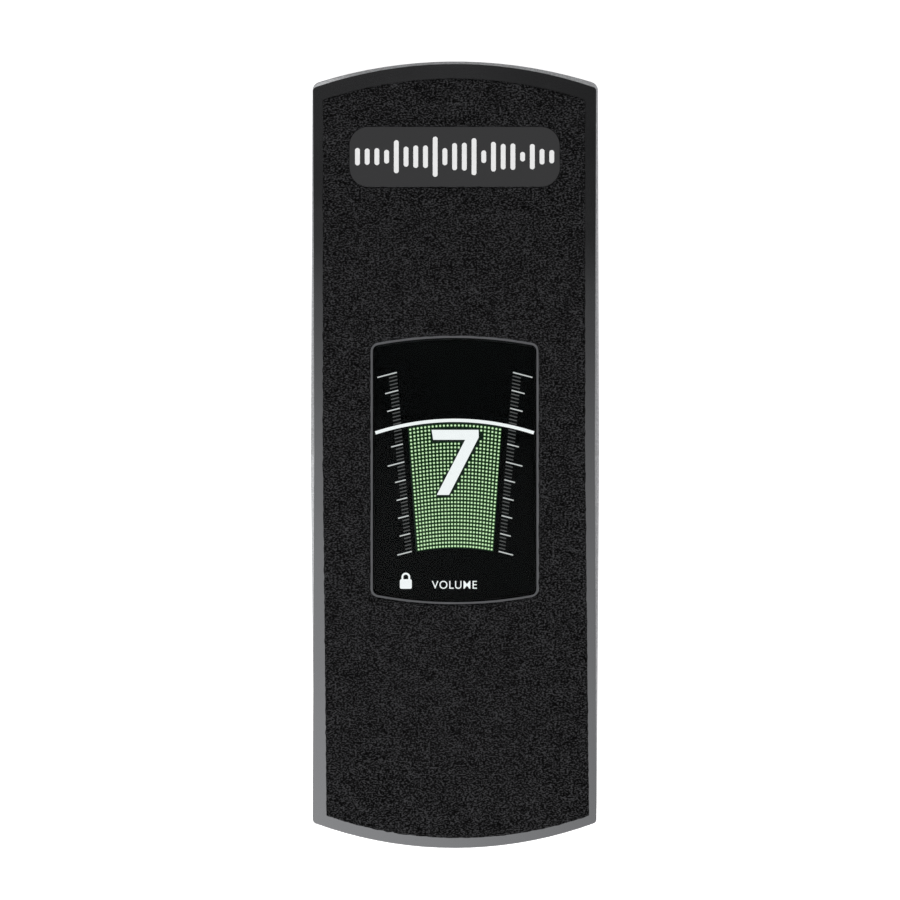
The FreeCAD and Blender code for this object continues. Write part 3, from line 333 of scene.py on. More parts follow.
def sintered_bronze():
    """Oil-filled sintered bronze: warm brown metal, dulled by open pores that are painted dark as painted shade.
    """
    material, tree, shader, place = new_finish("sintered_bronze", "B08A55", 1.0, 0.4)
    pores = add(tree, "TexNoise", {"Vector": place, "Scale": 0.5 / 0.00022, "Detail": 3.0, "Roughness": 0.55})
    closed = add(tree, "MapRange", {"Value": pores, "From Min": 0.3, "From Max": 0.55}, **SMOOTH)
    # The pores are painted dark brown as painted shade in them; the same pattern gives the bump.
    add(tree, "Mix", {0: closed, 6: rgba("5E4526"), 7: rgba("B8925C")}, to=shader["Base Color"], **COLOURS)
    add(tree, "Bump", {"Height": pores, "Distance": 0.00003, "Strength": 0.5}, to=shader["Normal"])
    return material


def bright_nickel():
    """Brass, plated with bright nickel: a warm mirror with light smears."""
    material, tree, shader, place = new_finish("bright_nickel", "C9C4BA", 1.0, 0.14)
    smears = add(tree, "TexNoise", {"Vector": place, "Scale": 0.5 / 0.003, "Detail": 4.0, "Roughness": 0.55})
    add(tree, "MapRange", {"Value": smears, "From Min": 0.35, "From Max": 0.7, "To Min": 0.1, "To Max": 0.24},
        to=shader["Roughness"], **SMOOTH)
    return material


def moulded_abs():
    """Black ABS from a spark-eroded mould: even satin with a pebbled skin."""
    material, tree, shader, place = new_finish("moulded_abs", "1E1E1F", 0.0, 0.45)
    grain = add(tree, "TexNoise", {"Vector": place, "Scale": 0.5 / 0.0004, "Detail": 2.0, "Roughness": 0.55})
    add(tree, "MapRange", {"Value": grain, "From Min": 0.3, "From Max": 0.7, "To Min": 0.38, "To Max": 0.55},
        to=shader["Roughness"], **SMOOTH)
    add(tree, "Bump", {"Height": grain, "Distance": 0.00002, "Strength": 0.6}, to=shader["Normal"])
    return material


def white_nylon():
    """Natural nylon of plugs: milky, a little see-through, with a soft gloss."""
    material, tree, shader, place = new_finish("white_nylon", "E2DFD4", 0.0, 0.42, **{
        "Subsurface Weight": 0.15, "Subsurface Radius": (0.002, 0.0018, 0.0015)})
    skin = add(tree, "TexNoise", {"Vector": place, "Scale": 0.5 / 0.0007, "Detail": 2.0, "Roughness": 0.55})
    add(tree, "Bump", {"Height": skin, "Distance": 0.00001, "Strength": 0.5}, to=shader["Normal"])
    return material


def solder_mask():
    """Glass-epoxy board with green solder mask: glossy, with tracks showing as paler raised lines."""
    material, tree, shader, place = new_finish("solder_mask", "0F4A2C", 0.0, 0.25)
    tracks = add(tree, "TexBrick", {"Vector": place, "Scale": 1.0, "Mortar Size": 0.00028, "Mortar Smooth": 0.1,
                                    "Brick Width": 0.0072, "Row Height": 0.0024},
                 "Fac", offset=0.37, squash=0.6, squash_frequency=3)
    add(tree, "Mix", {0: tracks, 6: rgba("0D4226"), 7: rgba("1E6A3C")}, to=shader["Base Color"], **COLOURS)
    add(tree, "Bump", {"Height": tracks, "Distance": 0.00003, "Strength": 0.6}, to=shader["Normal"])
    return material


def capacitor_sleeve():
    """Capacitor in a shrunk vinyl sleeve: glossy dark blue, with the bare aluminium of the can's top."""
    material, tree, shader, place = new_finish("capacitor_sleeve", "1A2440", 0.0, 0.3)
    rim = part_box("capacitors")[1].z - 0.0003
    height = add(tree, "SeparateXYZ", {"Vector": place}, "Z")
    bare = add(tree, "Math", {0: height, 1: rim}, to=shader["Metallic"], operation="GREATER_THAN")
    add(tree, "Mix", {0: bare, 6: rgba("18223C"), 7: rgba("C4C6C8")}, to=shader["Base Color"], **COLOURS)
    wrinkles = add(tree, "TexNoise", {"Vector": place, "Scale": 0.5 / 0.0008, "Detail": 2.0, "Roughness": 0.55})
    add(tree, "Bump", {"Height": wrinkles, "Distance": 0.00001, "Strength": 0.4}, to=shader["Normal"])
    return material


def braided_cord():
    """Braided polyester cord: pale grey, matt, with crossing strands too fine to see, drawn at 0.6 mm, and
    painted shade in the grooves between them.
    """
    material, tree, shader, place = new_finish("braided_cord", "B9B7AE", 0.0, 0.7)
    crossed = add(tree, "Mapping", {"Vector": place, "Scale": (1, -1, 1)})
    strands = [add(tree, "TexWave", {"Vector": way, "Scale": 0.314 / 0.0006, "Distortion": 0.6}, "Fac",
                   wave_type="BANDS", bands_direction="DIAGONAL") for way in (place, crossed)]
    weave = add(tree, "Math", {0: strands[0], 1: strands[1]}, operation="MAXIMUM")
    # The grooves between the strands are painted dark as painted shade; the same pattern gives the bump.
    add(tree, "Mix", {0: weave, 6: rgba("7C7A72"), 7: rgba("C6C4BA")}, to=shader["Base Color"], **COLOURS)
    add(tree, "Bump", {"Height": weave, "Distance": 0.0001, "Strength": 0.7}, to=shader["Normal"])
    return material


def vinyl_jacket():
    """Vinyl insulation on stranded wire: dark grey, softly shining."""
    material, tree, shader, place = new_finish("vinyl_jacket", "2B2B2E", 0.0, 0.38)
    smears = add(tree, "TexNoise", {"Vector": place, "Scale": 0.5 / 0.003, "Detail": 3.0, "Roughness": 0.55})
    add(tree, "MapRange", {"Value": smears, "From Min": 0.3, "From Max": 0.7, "To Min": 0.32, "To Max": 0.48},
        to=shader["Roughness"], **SMOOTH)
    return material


def grip_grit():
    """Coarse anti-slip sheet, silicon-carbide grit under black rubber: grey crumbs, with painted shade in black
    in the pits between them and painted highlight on their tops.
    """
    top, grain = colours().grit, sizes().grit
    material, tree, shader, place = new_finish("anti_slip_grit", top, 0.0, 0.74, **{"Specular IOR Level": 0.12})
    across = add(tree, "Mapping", {"Vector": place, "Scale": (0.85, 1.35, 1)})
    crumbs = add(tree, "TexNoise", {"Vector": across, "Scale": 0.5 / (grain * 0.46), "Detail": 1.0,
                                    "Roughness": 0.6})
    patches = add(tree, "TexNoise", {"Vector": place, "Scale": 0.5 / (grain * 4.0), "Detail": 2.0,
                                     "Roughness": 0.5})
    clumps = add(tree, "MapRange", {"Value": patches, "From Min": 0.35, "From Max": 0.7,
                                    "To Min": -0.012, "To Max": 0.02}, **SMOOTH)
    lifted = add(tree, "Math", {0: crumbs, 1: clumps}, operation="ADD")
    # The colour follows the height: the pits are painted black as painted shade, and the crumbs' tops are painted
    # up to 3.9 times lighter than the grit colour as painted highlight.
    shown = add(tree, "ValToRGB", {"Fac": lifted}, to=shader["Base Color"])
    stops = shown.node.color_ramp.elements
    stops[0].position, stops[0].color = 0.435, rgba("010101")
    stops[1].position, stops[1].color = 0.625, shade(top, 3.9)
    stops.new(0.52).color = rgba(top)
    add(tree, "Bump", {"Height": lifted, "Distance": 0.0005, "Strength": 0.55}, to=shader["Normal"])
    return material


def badge_vinyl():
    """Smooth moulded badge: charcoal with a silk gloss."""
    material, tree, shader, place = new_finish("badge_vinyl", colours().badge, 0.0, 0.4)
    skin = add(tree, "TexNoise", {"Vector": place, "Scale": 0.5 / 0.0009, "Detail": 2.0, "Roughness": 0.55})
    add(tree, "Bump", {"Height": skin, "Distance": 0.000006, "Strength": 0.5}, to=shader["Normal"])
    return material


def badge_print():
    """White screen print on the badge: flat white with a slightly uneven lay of ink."""
    material, tree, shader, place = new_finish("screen_print", "F4F4F4", 0.0, 0.5)
    lay = add(tree, "TexNoise", {"Vector": place, "Scale": 0.5 / 0.0008, "Detail": 3.0, "Roughness": 0.55})
    add(tree, "Mix", {0: lay, 6: rgba("ECECEC"), 7: rgba("FBFBFB")}, to=shader["Base Color"], **COLOURS)
    return material


def bezel_plastic():
    """Moulded frame of the window: dark grey satin plastic, a little paler where it is rubbed."""
    material, tree, shader, place = new_finish("bezel_plastic", "58595B", 0.0, 0.4)
    rub = add(tree, "TexNoise", {"Vector": place, "Scale": 0.5 / 0.004, "Detail": 4.0, "Roughness": 0.55})
    add(tree, "Mix", {0: rub, 6: rgba("4C4D4F"), 7: rgba("66676A")}, to=shader["Base Color"], **COLOURS)
    return material


def gasket_foam():
    """Closed-cell foam: black and soft, with open cells on its cut edge."""
    material, tree, shader, place = new_finish("gasket_foam", "121212", 0.0, 0.9)
    cells = add(tree, "TexVoronoi", {"Vector": place, "Scale": 1 / 0.0003})
    add(tree, "Bump", {"Height": cells, "Distance": 0.0001, "Strength": 0.7}, to=shader["Normal"])
    return material


def display_black():
    """Front of the lit panel, switched off: near black with a cold cast, and a fine grid of cells."""
    material, tree, shader, place = new_finish("panel_black", "060B0C", 0.0, 0.5, **{"Specular IOR Level": 0.05})
    cells = add(tree, "TexBrick", {"Vector": place, "Scale": 1.0, "Mortar Size": 0.00004, "Brick Width": 0.0003,
                                   "Row Height": 0.0003}, "Fac", offset=0.0)
    add(tree, "Mix", {0: cells, 6: rgba("070D0E"), 7: rgba("040809")}, to=shader["Base Color"], **COLOURS)
    return material


def cover_glass():
    """Toughened glass with an anti-reflection layer: clear, with only a faint shine, so its index is set low."""
    material, tree, shader, place = new_finish("coated_glass", "F4FAFA", 0.0, 0.0,
                                               **{"Transmission Weight": 1.0, "IOR": 1.2})
    smears = add(tree, "TexNoise", {"Vector": place, "Scale": 0.5 / 0.02, "Detail": 3.0, "Roughness": 0.55})
    add(tree, "MapRange", {"Value": smears, "From Min": 0.3, "From Max": 0.7, "To Min": 0.0, "To Max": 0.015},
        to=shader["Roughness"], **SMOOTH)
    return material


def lit(name, value):
    """A lit picture element of the display: an even glow through a printed mask, slightly uneven at its edge."""
    material, tree, shader, place = new_finish(name, "000000", 0.0, 0.6, **{"Emission Strength": 1.0})
    glow = add(tree, "TexNoise", {"Vector": place, "Scale": 0.5 / 0.0006, "Detail": 1.0, "Roughness": 0.55})
    add(tree, "Mix", {0: glow, 6: shade(value, 0.93), 7: rgba(value)}, to=shader["Emission Color"], **COLOURS)
    return material


FINISHES = {
    "satin_aluminium": anodised_aluminium, "silver_housing": silver_enamel, "zinc_steel": zinc_plate,
    "black_screw": black_oxide, "black_rubber": moulded_rubber, "polished_steel": turned_steel,
    "bronze": sintered_bronze, "nickel": bright_nickel, "black_plastic": moulded_abs,
    "white_plastic": white_nylon, "green_board": solder_mask, "capacitor_can": capacitor_sleeve,
    "cord_fibre": braided_cord, "lead_jacket": vinyl_jacket, "grip_grit": grip_grit,
    "badge_black": badge_vinyl, "bezel_grey": bezel_plastic, "gasket_foam": gasket_foam,
    "display_black": display_black, "display_glass": cover_glass,
}
made_finishes = {}


def finish(slot):
    """The finish of a material slot, made once."""
    if slot not in made_finishes:
        made_finishes[slot] = FINISHES[slot]()
    return made_finishes[slot]


# ---------------------------------------------------------------- the operators

class PEDAL_OT_finishes(bpy.types.Operator):
    """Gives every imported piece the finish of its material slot"""

    bl_idname = "pedal.finishes"
    bl_label = "Finish the packed pieces"

    def execute(self, context):
        for node in NODES.values():
            for holder in node.material_slots:
                name = holder.material.name.split(".")[0]
                if name not in FINISHES:
                    raise RuntimeError(f"no finish for {name} on {node.name}")
                holder.material = finish(name)
        return {"FINISHED"}


class PEDAL_OT_grip(bpy.types.Operator):
    """Makes the grip sheet: a rubbery sheet of grit with ragged cut edges"""

    bl_idname = "pedal.grip"
    bl_label = "Make the grip sheet"

    def execute(self, context):
        size = sizes()
        source = finish_piece(merged_copy("grip_pad"), "grip_source", finish("grip_grit"), None, 0)
        remesh = source.modifiers.new("cells", "REMESH")
        remesh.mode, remesh.voxel_size = "VOXEL", size.grip_cell
        shown = source.evaluated_get(context.evaluated_depsgraph_get())
        bm = bmesh.new()
        bm.from_mesh(shown.to_mesh())
        shown.to_mesh_clear()
        bpy.data.objects.remove(source)
        low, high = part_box("grip_pad")
        under = [f for f in bm.faces if f.normal.z < -0.7 and f.calc_center_median().z < low.z + size.grip_cell]
        bmesh.ops.delete(bm, geom=under, context="FACES")
        rim = [e for e in bm.edges if e.is_boundary]
        bmesh.ops.triangle_fill(bm, edges=rim, use_beauty=False)
        bm.normal_update()
        for v in bm.verts:
            at = v.co / size.grit
            if v.co.z > high.z - size.grip_cell:
                crumb = noise.noise(at * 0.42) + 0.6 * noise.noise(at * 0.9 + Vector((7, 3, 1)))
                v.co.z += size.grip_relief * (0.45 * crumb - 0.1)
            elif v.co.z > low.z + 0.3 * size.grip_cell:
                push = noise.noise(at * 0.35 + Vector((2, 9, 4)))
                side = Vector((v.normal.x, v.normal.y, 0))
                v.co += side * push * 0.00022
        grip = finish_piece(bm, "grip_sheet", finish("grip_grit"), "treadle", 60)
        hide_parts("grip_pad")
        return {"FINISHED"}


# how far the badge's ink reaches into the badge and stands out of it
INK_SUNK, INK_PROUD = 0.05 * MM, 0.06 * MM


class PEDAL_OT_badge(bpy.types.Operator):
    """Prints a row of rounded bars on the badge, like the swell of a sound"""

    bl_idname = "pedal.badge"
    bl_label = "Print the badge"

    def execute(self, context):
        size = sizes()
        centre, top = box_centre("badge_plate"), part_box("badge_plate")[1].z
        bm = bmesh.new()
        for i in range(size.bar_count):
            across = (i - (size.bar_count - 1) / 2) * size.bar_pitch
            part = across / (size.bar_pitch * (size.bar_count + 1) / 2)
            swell = 0.36 + 0.64 * (1 - part * part)
            beat = 0.62 + 0.38 * math.sin(i * 2.45 + 0.6) * math.cos(i * 0.71)
            half = max(0.9 * size.bar_width, 0.0071 * swell * beat)
            ring = bmesh.ops.create_circle(bm, segments=12, radius=size.bar_width / 2, cap_ends=True,
                                           matrix=Matrix.Rotation(math.radians(15), 4, "Z"))["verts"]
            for v in ring:
                v.co.y += math.copysign(half - size.bar_width / 2, v.co.y)
                v.co += Vector((centre.x + across, centre.y, top - INK_SUNK))
            thicken(bm, ring[0].link_faces[:], INK_SUNK + INK_PROUD)
        finish_piece(bm, "badge_bars", badge_print(), "treadle", 40)
        return {"FINISHED"}


class PEDAL_OT_window(bpy.types.Operator):
    """Makes the cover glass, a little clear of the lit panel under it"""

    bl_idname = "pedal.window"
    bl_label = "Make the window"

    def execute(self, context):
        low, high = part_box("display_glass")
        bm = merged_copy("display_glass")
        clear = 0.0003
        shrink = (high.z - low.z - clear) / (high.z - low.z)
        for v in bm.verts:
            v.co.z = high.z - (high.z - v.co.z) * shrink
        bmesh.ops.dissolve_limit(bm, angle_limit=math.radians(1), verts=bm.verts[:], edges=bm.edges[:])
        rim = [e for e in bm.edges if e.is_manifold and e.calc_face_angle(0) > 1.0
               and all(v.co.z > high.z - 1e-5 for v in e.verts)]
        bmesh.ops.bevel(bm, geom=rim, offset=0.0004, offset_type="OFFSET", segments=3, profile=0.5,
                        affect="EDGES", material=-1)
        glass = finish_piece(bm, "cover_glass", finish("display_glass"), "treadle", 30)
        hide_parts("display_glass")
        return {"FINISHED"}


# the picture, in mm from the middle of the window, +Y to the toe
NUMERAL = ((-7.37, 12.82), (-6.86, 9.63), (3.34, 9.63), (-5.72, -7.98), (-1.80, -7.98), (7.70, 10.43),
           (7.63, 12.82))
NUMERAL_CLEAR = 0.62
DOT_COLUMNS, DOT_ROWS = 25, 34
DOT_TOP, DOT_BOTTOM = (14.35, 12.89), (11.65, -25.4)
TOP_BOW, BOTTOM_BOW = 1.32, 1.1
LEVEL_TOP, LEVEL_HALF, LEVEL_RADIUS = 15.85, 25.3, 81.8
SCALE_TOP, SCALE_BOTTOM = (18.48, 31.15), (13.7, -26.0)
MAJOR_LENGTHS = (6.2, 4.2, 4.0, 0.0, 3.7, 5.3, 3.4, 3.4, 3.4, 3.4, 4.6)
MAJOR_WIDTH, MINOR_WIDTH = 0.38, 0.36
TICK_SLOPE = math.radians(14.5)
LOCK_LOW, LOCK_HIGH = (-17.5, -37.95), (-13.7, -34.9)
SHACKLE_CENTRE, SHACKLE_RADIUS, SHACKLE_WIDTH = (-15.6, -34.2), 1.09 * MM, 0.62 * MM
CAPTION_FOOT, CAPTION_WIDTH, CAPTION_HEIGHT = (-0.1, -37.95), 14.4 * MM, 2.55 * MM
# how high each layer of the picture lies over the panel, and how thick its marks are
GROUND, HALOS, MARKS, DOTS, OVER_DOTS = 0.02 * MM, 0.06 * MM, 0.08 * MM, 0.09 * MM, 0.12 * MM
MARK_GAUGE = 0.06 * MM


def from_numeral(x, y):
    """The distance from a point to the numeral's outline, 0 inside it."""
    inside, nearest = False, 1e9
    for (ax, ay), (bx, by) in zip(NUMERAL, NUMERAL[1:] + NUMERAL[:1]):
        if (ay > y) != (by > y) and x < ax + (y - ay) / (by - ay) * (bx - ax):
            inside = not inside
        run = Vector((bx - ax, by - ay))
        t = max(0.0, min(1.0, Vector((x - ax, y - ay)).dot(run) / run.length_squared))
        nearest = min(nearest, (Vector((x, y)) - Vector((ax, ay)) - t * run).length)
    return 0.0 if inside else nearest


class PEDAL_OT_picture(bpy.types.Operator):
    """Makes the lit picture: level line, dots, numeral, scale, lock and caption"""

    bl_idname = "pedal.picture"
    bl_label = "Make the lit picture"

    def execute(self, context):
        size, tint = sizes(), colours()
        self.centre = box_centre("display_glass")
        self.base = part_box("display_panel")[1].z
        white = lit("lit_white", tint.lit_white)
        self.dots((("level_dots", lit("lit_green", tint.lit_green), size.dot, DOTS),
                   ("level_halos", lit("lit_halo", tint.halo), 1.5 * size.dot, HALOS)),
                  lit("lit_field", tint.field))
        self.level_line(white, size.level_width)
        bm = bmesh.new()
        outline = [bm.verts.new((*self.at(x, y), self.base + OVER_DOTS)) for x, y in NUMERAL]
        thicken(bm, [bm.faces.new(outline)], MARK_GAUGE)
        self.show(bm, "numeral", white)
        self.scale(lit("lit_scale", linear("D2D2D2")), lit("lit_minor", linear("565656")))
        self.lock(white)
        self.caption(white)
        return {"FINISHED"}

    def at(self, x, y):
        """A place in the picture, in metres in the frame."""
        return self.centre.x + x * MM, self.centre.y + y * MM

    def show(self, bm, name, material):
        """Makes one part of the picture."""
        finish_piece(bm, name, material, "treadle", 30)

    def dots(self, layers, ground):
        """The level field: rows of dots with halos that bow towards the toe, on a dim ground."""
        places = []
        for row in range(DOT_ROWS):
            part = row / (DOT_ROWS - 1)
            half = DOT_TOP[0] + (DOT_BOTTOM[0] - DOT_TOP[0]) * part
            edge = DOT_TOP[1] + (DOT_BOTTOM[1] - DOT_TOP[1]) * part
            rise = TOP_BOW + (BOTTOM_BOW - TOP_BOW) * part
            for column in range(DOT_COLUMNS):
                across = half * (2 * column / (DOT_COLUMNS - 1) - 1)
                up = edge + rise * (1 - (across / half) ** 2)
                if from_numeral(across, up) >= NUMERAL_CLEAR:
                    places.append(self.at(across + 0.15, up))
        turn = Matrix.Rotation(math.radians(22.5), 4, "Z")
        for name, material, width, height in layers:
            bm = bmesh.new()
            for place in places:
                centre = Matrix.Translation((*place, self.base + height))
                bmesh.ops.create_cone(bm, cap_ends=True, segments=8, radius1=width * 0.54, radius2=width * 0.54,
                                      depth=0.00002, matrix=centre @ turn)
            self.show(bm, name, material)
        bm = bmesh.new()
        ends = {1: (*DOT_TOP, TOP_BOW, 1.9), -1: (*DOT_BOTTOM, BOTTOM_BOW, -0.75)}
        for v in bmesh.ops.create_grid(bm, x_segments=12, y_segments=1, size=1.0)["verts"]:
            across = v.co.x
            half, edge, rise, out = ends[round(v.co.y)]
            v.co = (*self.at((half + 0.75) * across, edge + out + rise * (1 - across * across)),
                    self.base + GROUND)
        thicken(bm, bm.faces[:], MARK_GAUGE / 2)
        self.show(bm, "level_ground", ground)

    def level_line(self, white, width):
        """The lit line that shows how far the treadle is pressed."""
        bm = bmesh.new()
        turn = math.asin(LEVEL_HALF / LEVEL_RADIUS)
        add_band(bm, self.at(0, LEVEL_TOP - LEVEL_RADIUS), LEVEL_RADIUS * MM, width, math.pi / 2 - turn,
                 math.pi / 2 + turn, self.base + OVER_DOTS, self.base + OVER_DOTS + MARK_GAUGE, 32)
        self.show(bm, "level_line", white)

    def tick(self, bm, side, inner, y, length, width):
        """One line of the scale, from its inner end outwards and down."""
        x, y = self.at(side * (inner + length / 2), y - length / 2 * math.tan(TICK_SLOPE))
        half = Vector((length / 2 / math.cos(TICK_SLOPE) * MM, width / 2 * MM, MARK_GAUGE / 2))
        centre = Vector((x, y, self.base + MARKS + MARK_GAUGE / 2))
        add_block(bm, centre - half, centre + half, Matrix.Rotation(-side * TICK_SLOPE, 4, "Z"))

    def scale(self, bright, dim):
        """The scale at both sides: ten steps, each with four short lines between."""
        major, minor = bmesh.new(), bmesh.new()
        for side in (-1, 1):
            for step in range(51):
                part = step / 50
                inner = SCALE_TOP[0] + (SCALE_BOTTOM[0] - SCALE_TOP[0]) * part + (0.15 + 0.2 * part) * (side > 0)
                y = SCALE_TOP[1] + (SCALE_BOTTOM[1] - SCALE_TOP[1]) * part
                if step % 5 == 0:
                    if MAJOR_LENGTHS[step // 5]:
                        self.tick(major, side, inner, y, MAJOR_LENGTHS[step // 5], MAJOR_WIDTH)
                else:
                    self.tick(minor, side, inner, y, 2.6 - 0.6 * part, MINOR_WIDTH)
        self.show(major, "scale_steps", bright)
        self.show(minor, "scale_short_lines", dim)

    def lock(self, white):
        """The padlock sign."""
        bm = bmesh.new()
        low, high = self.base + MARKS, self.base + MARKS + MARK_GAUGE
        top = self.at(*LOCK_HIGH)[1]
        add_block(bm, (*self.at(*LOCK_LOW), low), (*self.at(*LOCK_HIGH), high))
        upright = [e for e in bm.edges if abs(e.verts[0].co.z - e.verts[1].co.z) > MARK_GAUGE / 2]
        bmesh.ops.bevel(bm, geom=upright, offset=0.0005, offset_type="OFFSET", segments=4, profile=0.5,
                        affect="EDGES", material=-1)
        x, y = self.at(*SHACKLE_CENTRE)
        add_band(bm, (x, y), SHACKLE_RADIUS, SHACKLE_WIDTH, 0, math.pi, low, high, 16)
        for leg in (x - SHACKLE_RADIUS, x + SHACKLE_RADIUS):
            add_block(bm, (leg - SHACKLE_WIDTH / 2, top - 0.3 * MM, low), (leg + SHACKLE_WIDTH / 2, y, high))
        self.show(bm, "lock_sign", white)

    def caption(self, white):
        """The plain word that says what the number is."""
        curve = bpy.data.curves.new("caption", "FONT")
        curve.body, curve.align_x, curve.size = "VOLUME", "CENTER", 1.0
        curve.offset, curve.extrude, curve.space_character = 0.002, 0.01, 1.12
        writing = bpy.data.objects.new("caption_source", curve)
        bpy.context.scene.collection.objects.link(writing)
        bpy.context.view_layer.update()
        mesh = bpy.data.meshes.new_from_object(writing.evaluated_get(bpy.context.evaluated_depsgraph_get()))
        bpy.data.objects.remove(writing)
        bm = bmesh.new()
        bm.from_mesh(mesh)
        bmesh.ops.remove_doubles(bm, verts=bm.verts[:], dist=1e-5)
        xs, ys = [v.co.x for v in bm.verts], [v.co.y for v in bm.verts]
        x, y = self.at(*CAPTION_FOOT)
        wide, tall = CAPTION_WIDTH / (max(xs) - min(xs)), CAPTION_HEIGHT / (max(ys) - min(ys))
        middle, foot = (max(xs) + min(xs)) / 2, min(ys)
        for v in bm.verts:
            v.co = Vector((x + (v.co.x - middle) * wide, y + (v.co.y - foot) * tall,
                           self.base + 0.0001 + v.co.z * 0.003))
        self.show(bm, "caption", white)


# the drive cord's run from the shaft's underside to an eye on a post, seen from the side
RUN_START, RUN_SLOPE = (1.83 * MM, 14.75 * MM), math.radians(29.38)
POST_END, SPRING_START, SPRING_END = 63.83 * MM, 45.83 * MM, 59.83 * MM


def on_run(side, along, x):
    """A point on the cord's run towards the toe (1) or the heel (-1)."""
    return Vector((x, side * (RUN_START[0] + along * math.cos(RUN_SLOPE)),
                   RUN_START[1] + along * math.sin(RUN_SLOPE)))


class PEDAL_OT_drive_cord(bpy.types.Operator):
    """Makes the drive cord: two runs, their loops and the turns round the shaft"""

    bl_idname = "pedal.drive_cord"
    bl_label = "Make the drive cord"

    def execute(self, context):
        thick = sizes().cord
        for name, side, end in (("toe", 1, POST_END), ("heel", -1, SPRING_START - 0.0008)):
            node = f"cord_{name}_run"
            x = box_centre(node).x
            bm = bmesh.new()
            start, stop = on_run(side, 0, x), on_run(side, end, x)
            add_rod(bm, start, stop, thick / 2 * 0.92, 10)
            lengthways = [e for e in bm.edges if e.calc_length() > (stop - start).length / 2]
            bmesh.ops.subdivide_edges(bm, edges=lengthways, cuts=24)
            knot = on_run(side, end - 0.003, x)
            for k in range(3):
                add_coil(bm, Matrix.Translation(knot + (start - stop).normalized() * k * 0.0009)
                         @ turn_to(stop - start), thick * 0.62, thick * 0.8, 1, 0.0003, per_turn=14)
            if side > 0:
                post = box_centre("toe_cord_post")
                add_coil(bm, Matrix.Translation((post.x, post.y, stop.z + 0.0004)), 0.0025 + 0.00002,
                         thick * 0.9, 1, 0.0004)
            run = finish_piece(bm, f"drive_cord_{name}", finish("cord_fibre"), None, 50)
            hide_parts(node)
            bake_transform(run)
        bm = bmesh.new()
        low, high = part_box("cord_winding")
        centre = box_centre("cord_winding")
        add_coil(bm, Matrix.Translation((low.x + thick / 2, centre.y, centre.z)) @ turn_to((1, 0, 0)),
                 (high.z - low.z) / 2 - thick / 2, thick, 2.0, high.x - low.x - thick, per_turn=28, sides=10)
        turns = finish_piece(bm, "cord_turns", finish("cord_fibre"), "pot_shaft", 50)
        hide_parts("cord_winding")
        return {"FINISHED"}


class PEDAL_OT_spring(bpy.types.Operator):
    """Winds the tension spring and bends its hooks"""

    bl_idname = "pedal.spring"
    bl_label = "Wind the tension spring"

    def execute(self, context):
        wire = sizes().wire
        x = box_centre("cord_heel_run").x
        low, high = on_run(-1, SPRING_START, x), on_run(-1, SPRING_END, x)
        axis = (high - low).normalized()
        bm = bmesh.new()
        turns = 15
        add_coil(bm, Matrix.Translation(low) @ turn_to(axis), 0.0025 - wire / 2, wire, turns,
                 (high - low).length - wire)
        for end, way in ((low, -1), (high, 1)):
            eye = end + axis * way * (0.0016 if way < 0 else 0.0014)
            add_coil(bm, Matrix.Translation(eye - Vector((wire / 2, 0, 0))) @ turn_to((1, 0, 0)),
                     0.0015, wire, 1, wire * 0.9)
        post = on_run(-1, POST_END, x)
        add_rod(bm, high + axis * 0.0028, post, wire / 2, 8)
        heel = box_centre("heel_cord_post")
        add_coil(bm, Matrix.Translation((heel.x, heel.y, post.z)), 0.0025, wire, 1, wire)
        spring = finish_piece(bm, "tension_coil", finish("polished_steel"), "treadle", 50)
        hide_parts("tension_spring")
        return {"FINISHED"}


class PEDAL_OT_display_wires(bpy.types.Operator):
    """Makes the display's wires"""

    bl_idname = "pedal.display_wires"
    bl_label = "Make the display's wires"

    def execute(self, context):
        wires = finish_piece(merged_copy("display_lead"), "display_wires", finish("lead_jacket"), None,
                             50)
        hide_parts("display_lead")
        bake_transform(wires)
        return {"FINISHED"}


# the light overhead, from toe-ward (0) to heel-ward (1)
OVERHEAD = ((0.0, 0.042), (0.27, 0.036), (0.35, 0.014), (0.385, 0.021), (0.42, 0.071), (0.455, 0.13),
            (0.49, 0.18), (0.53, 0.224), (0.565, 0.26), (0.6, 0.287), (0.71, 0.348), (0.79, 0.378), (1.0, 0.45))


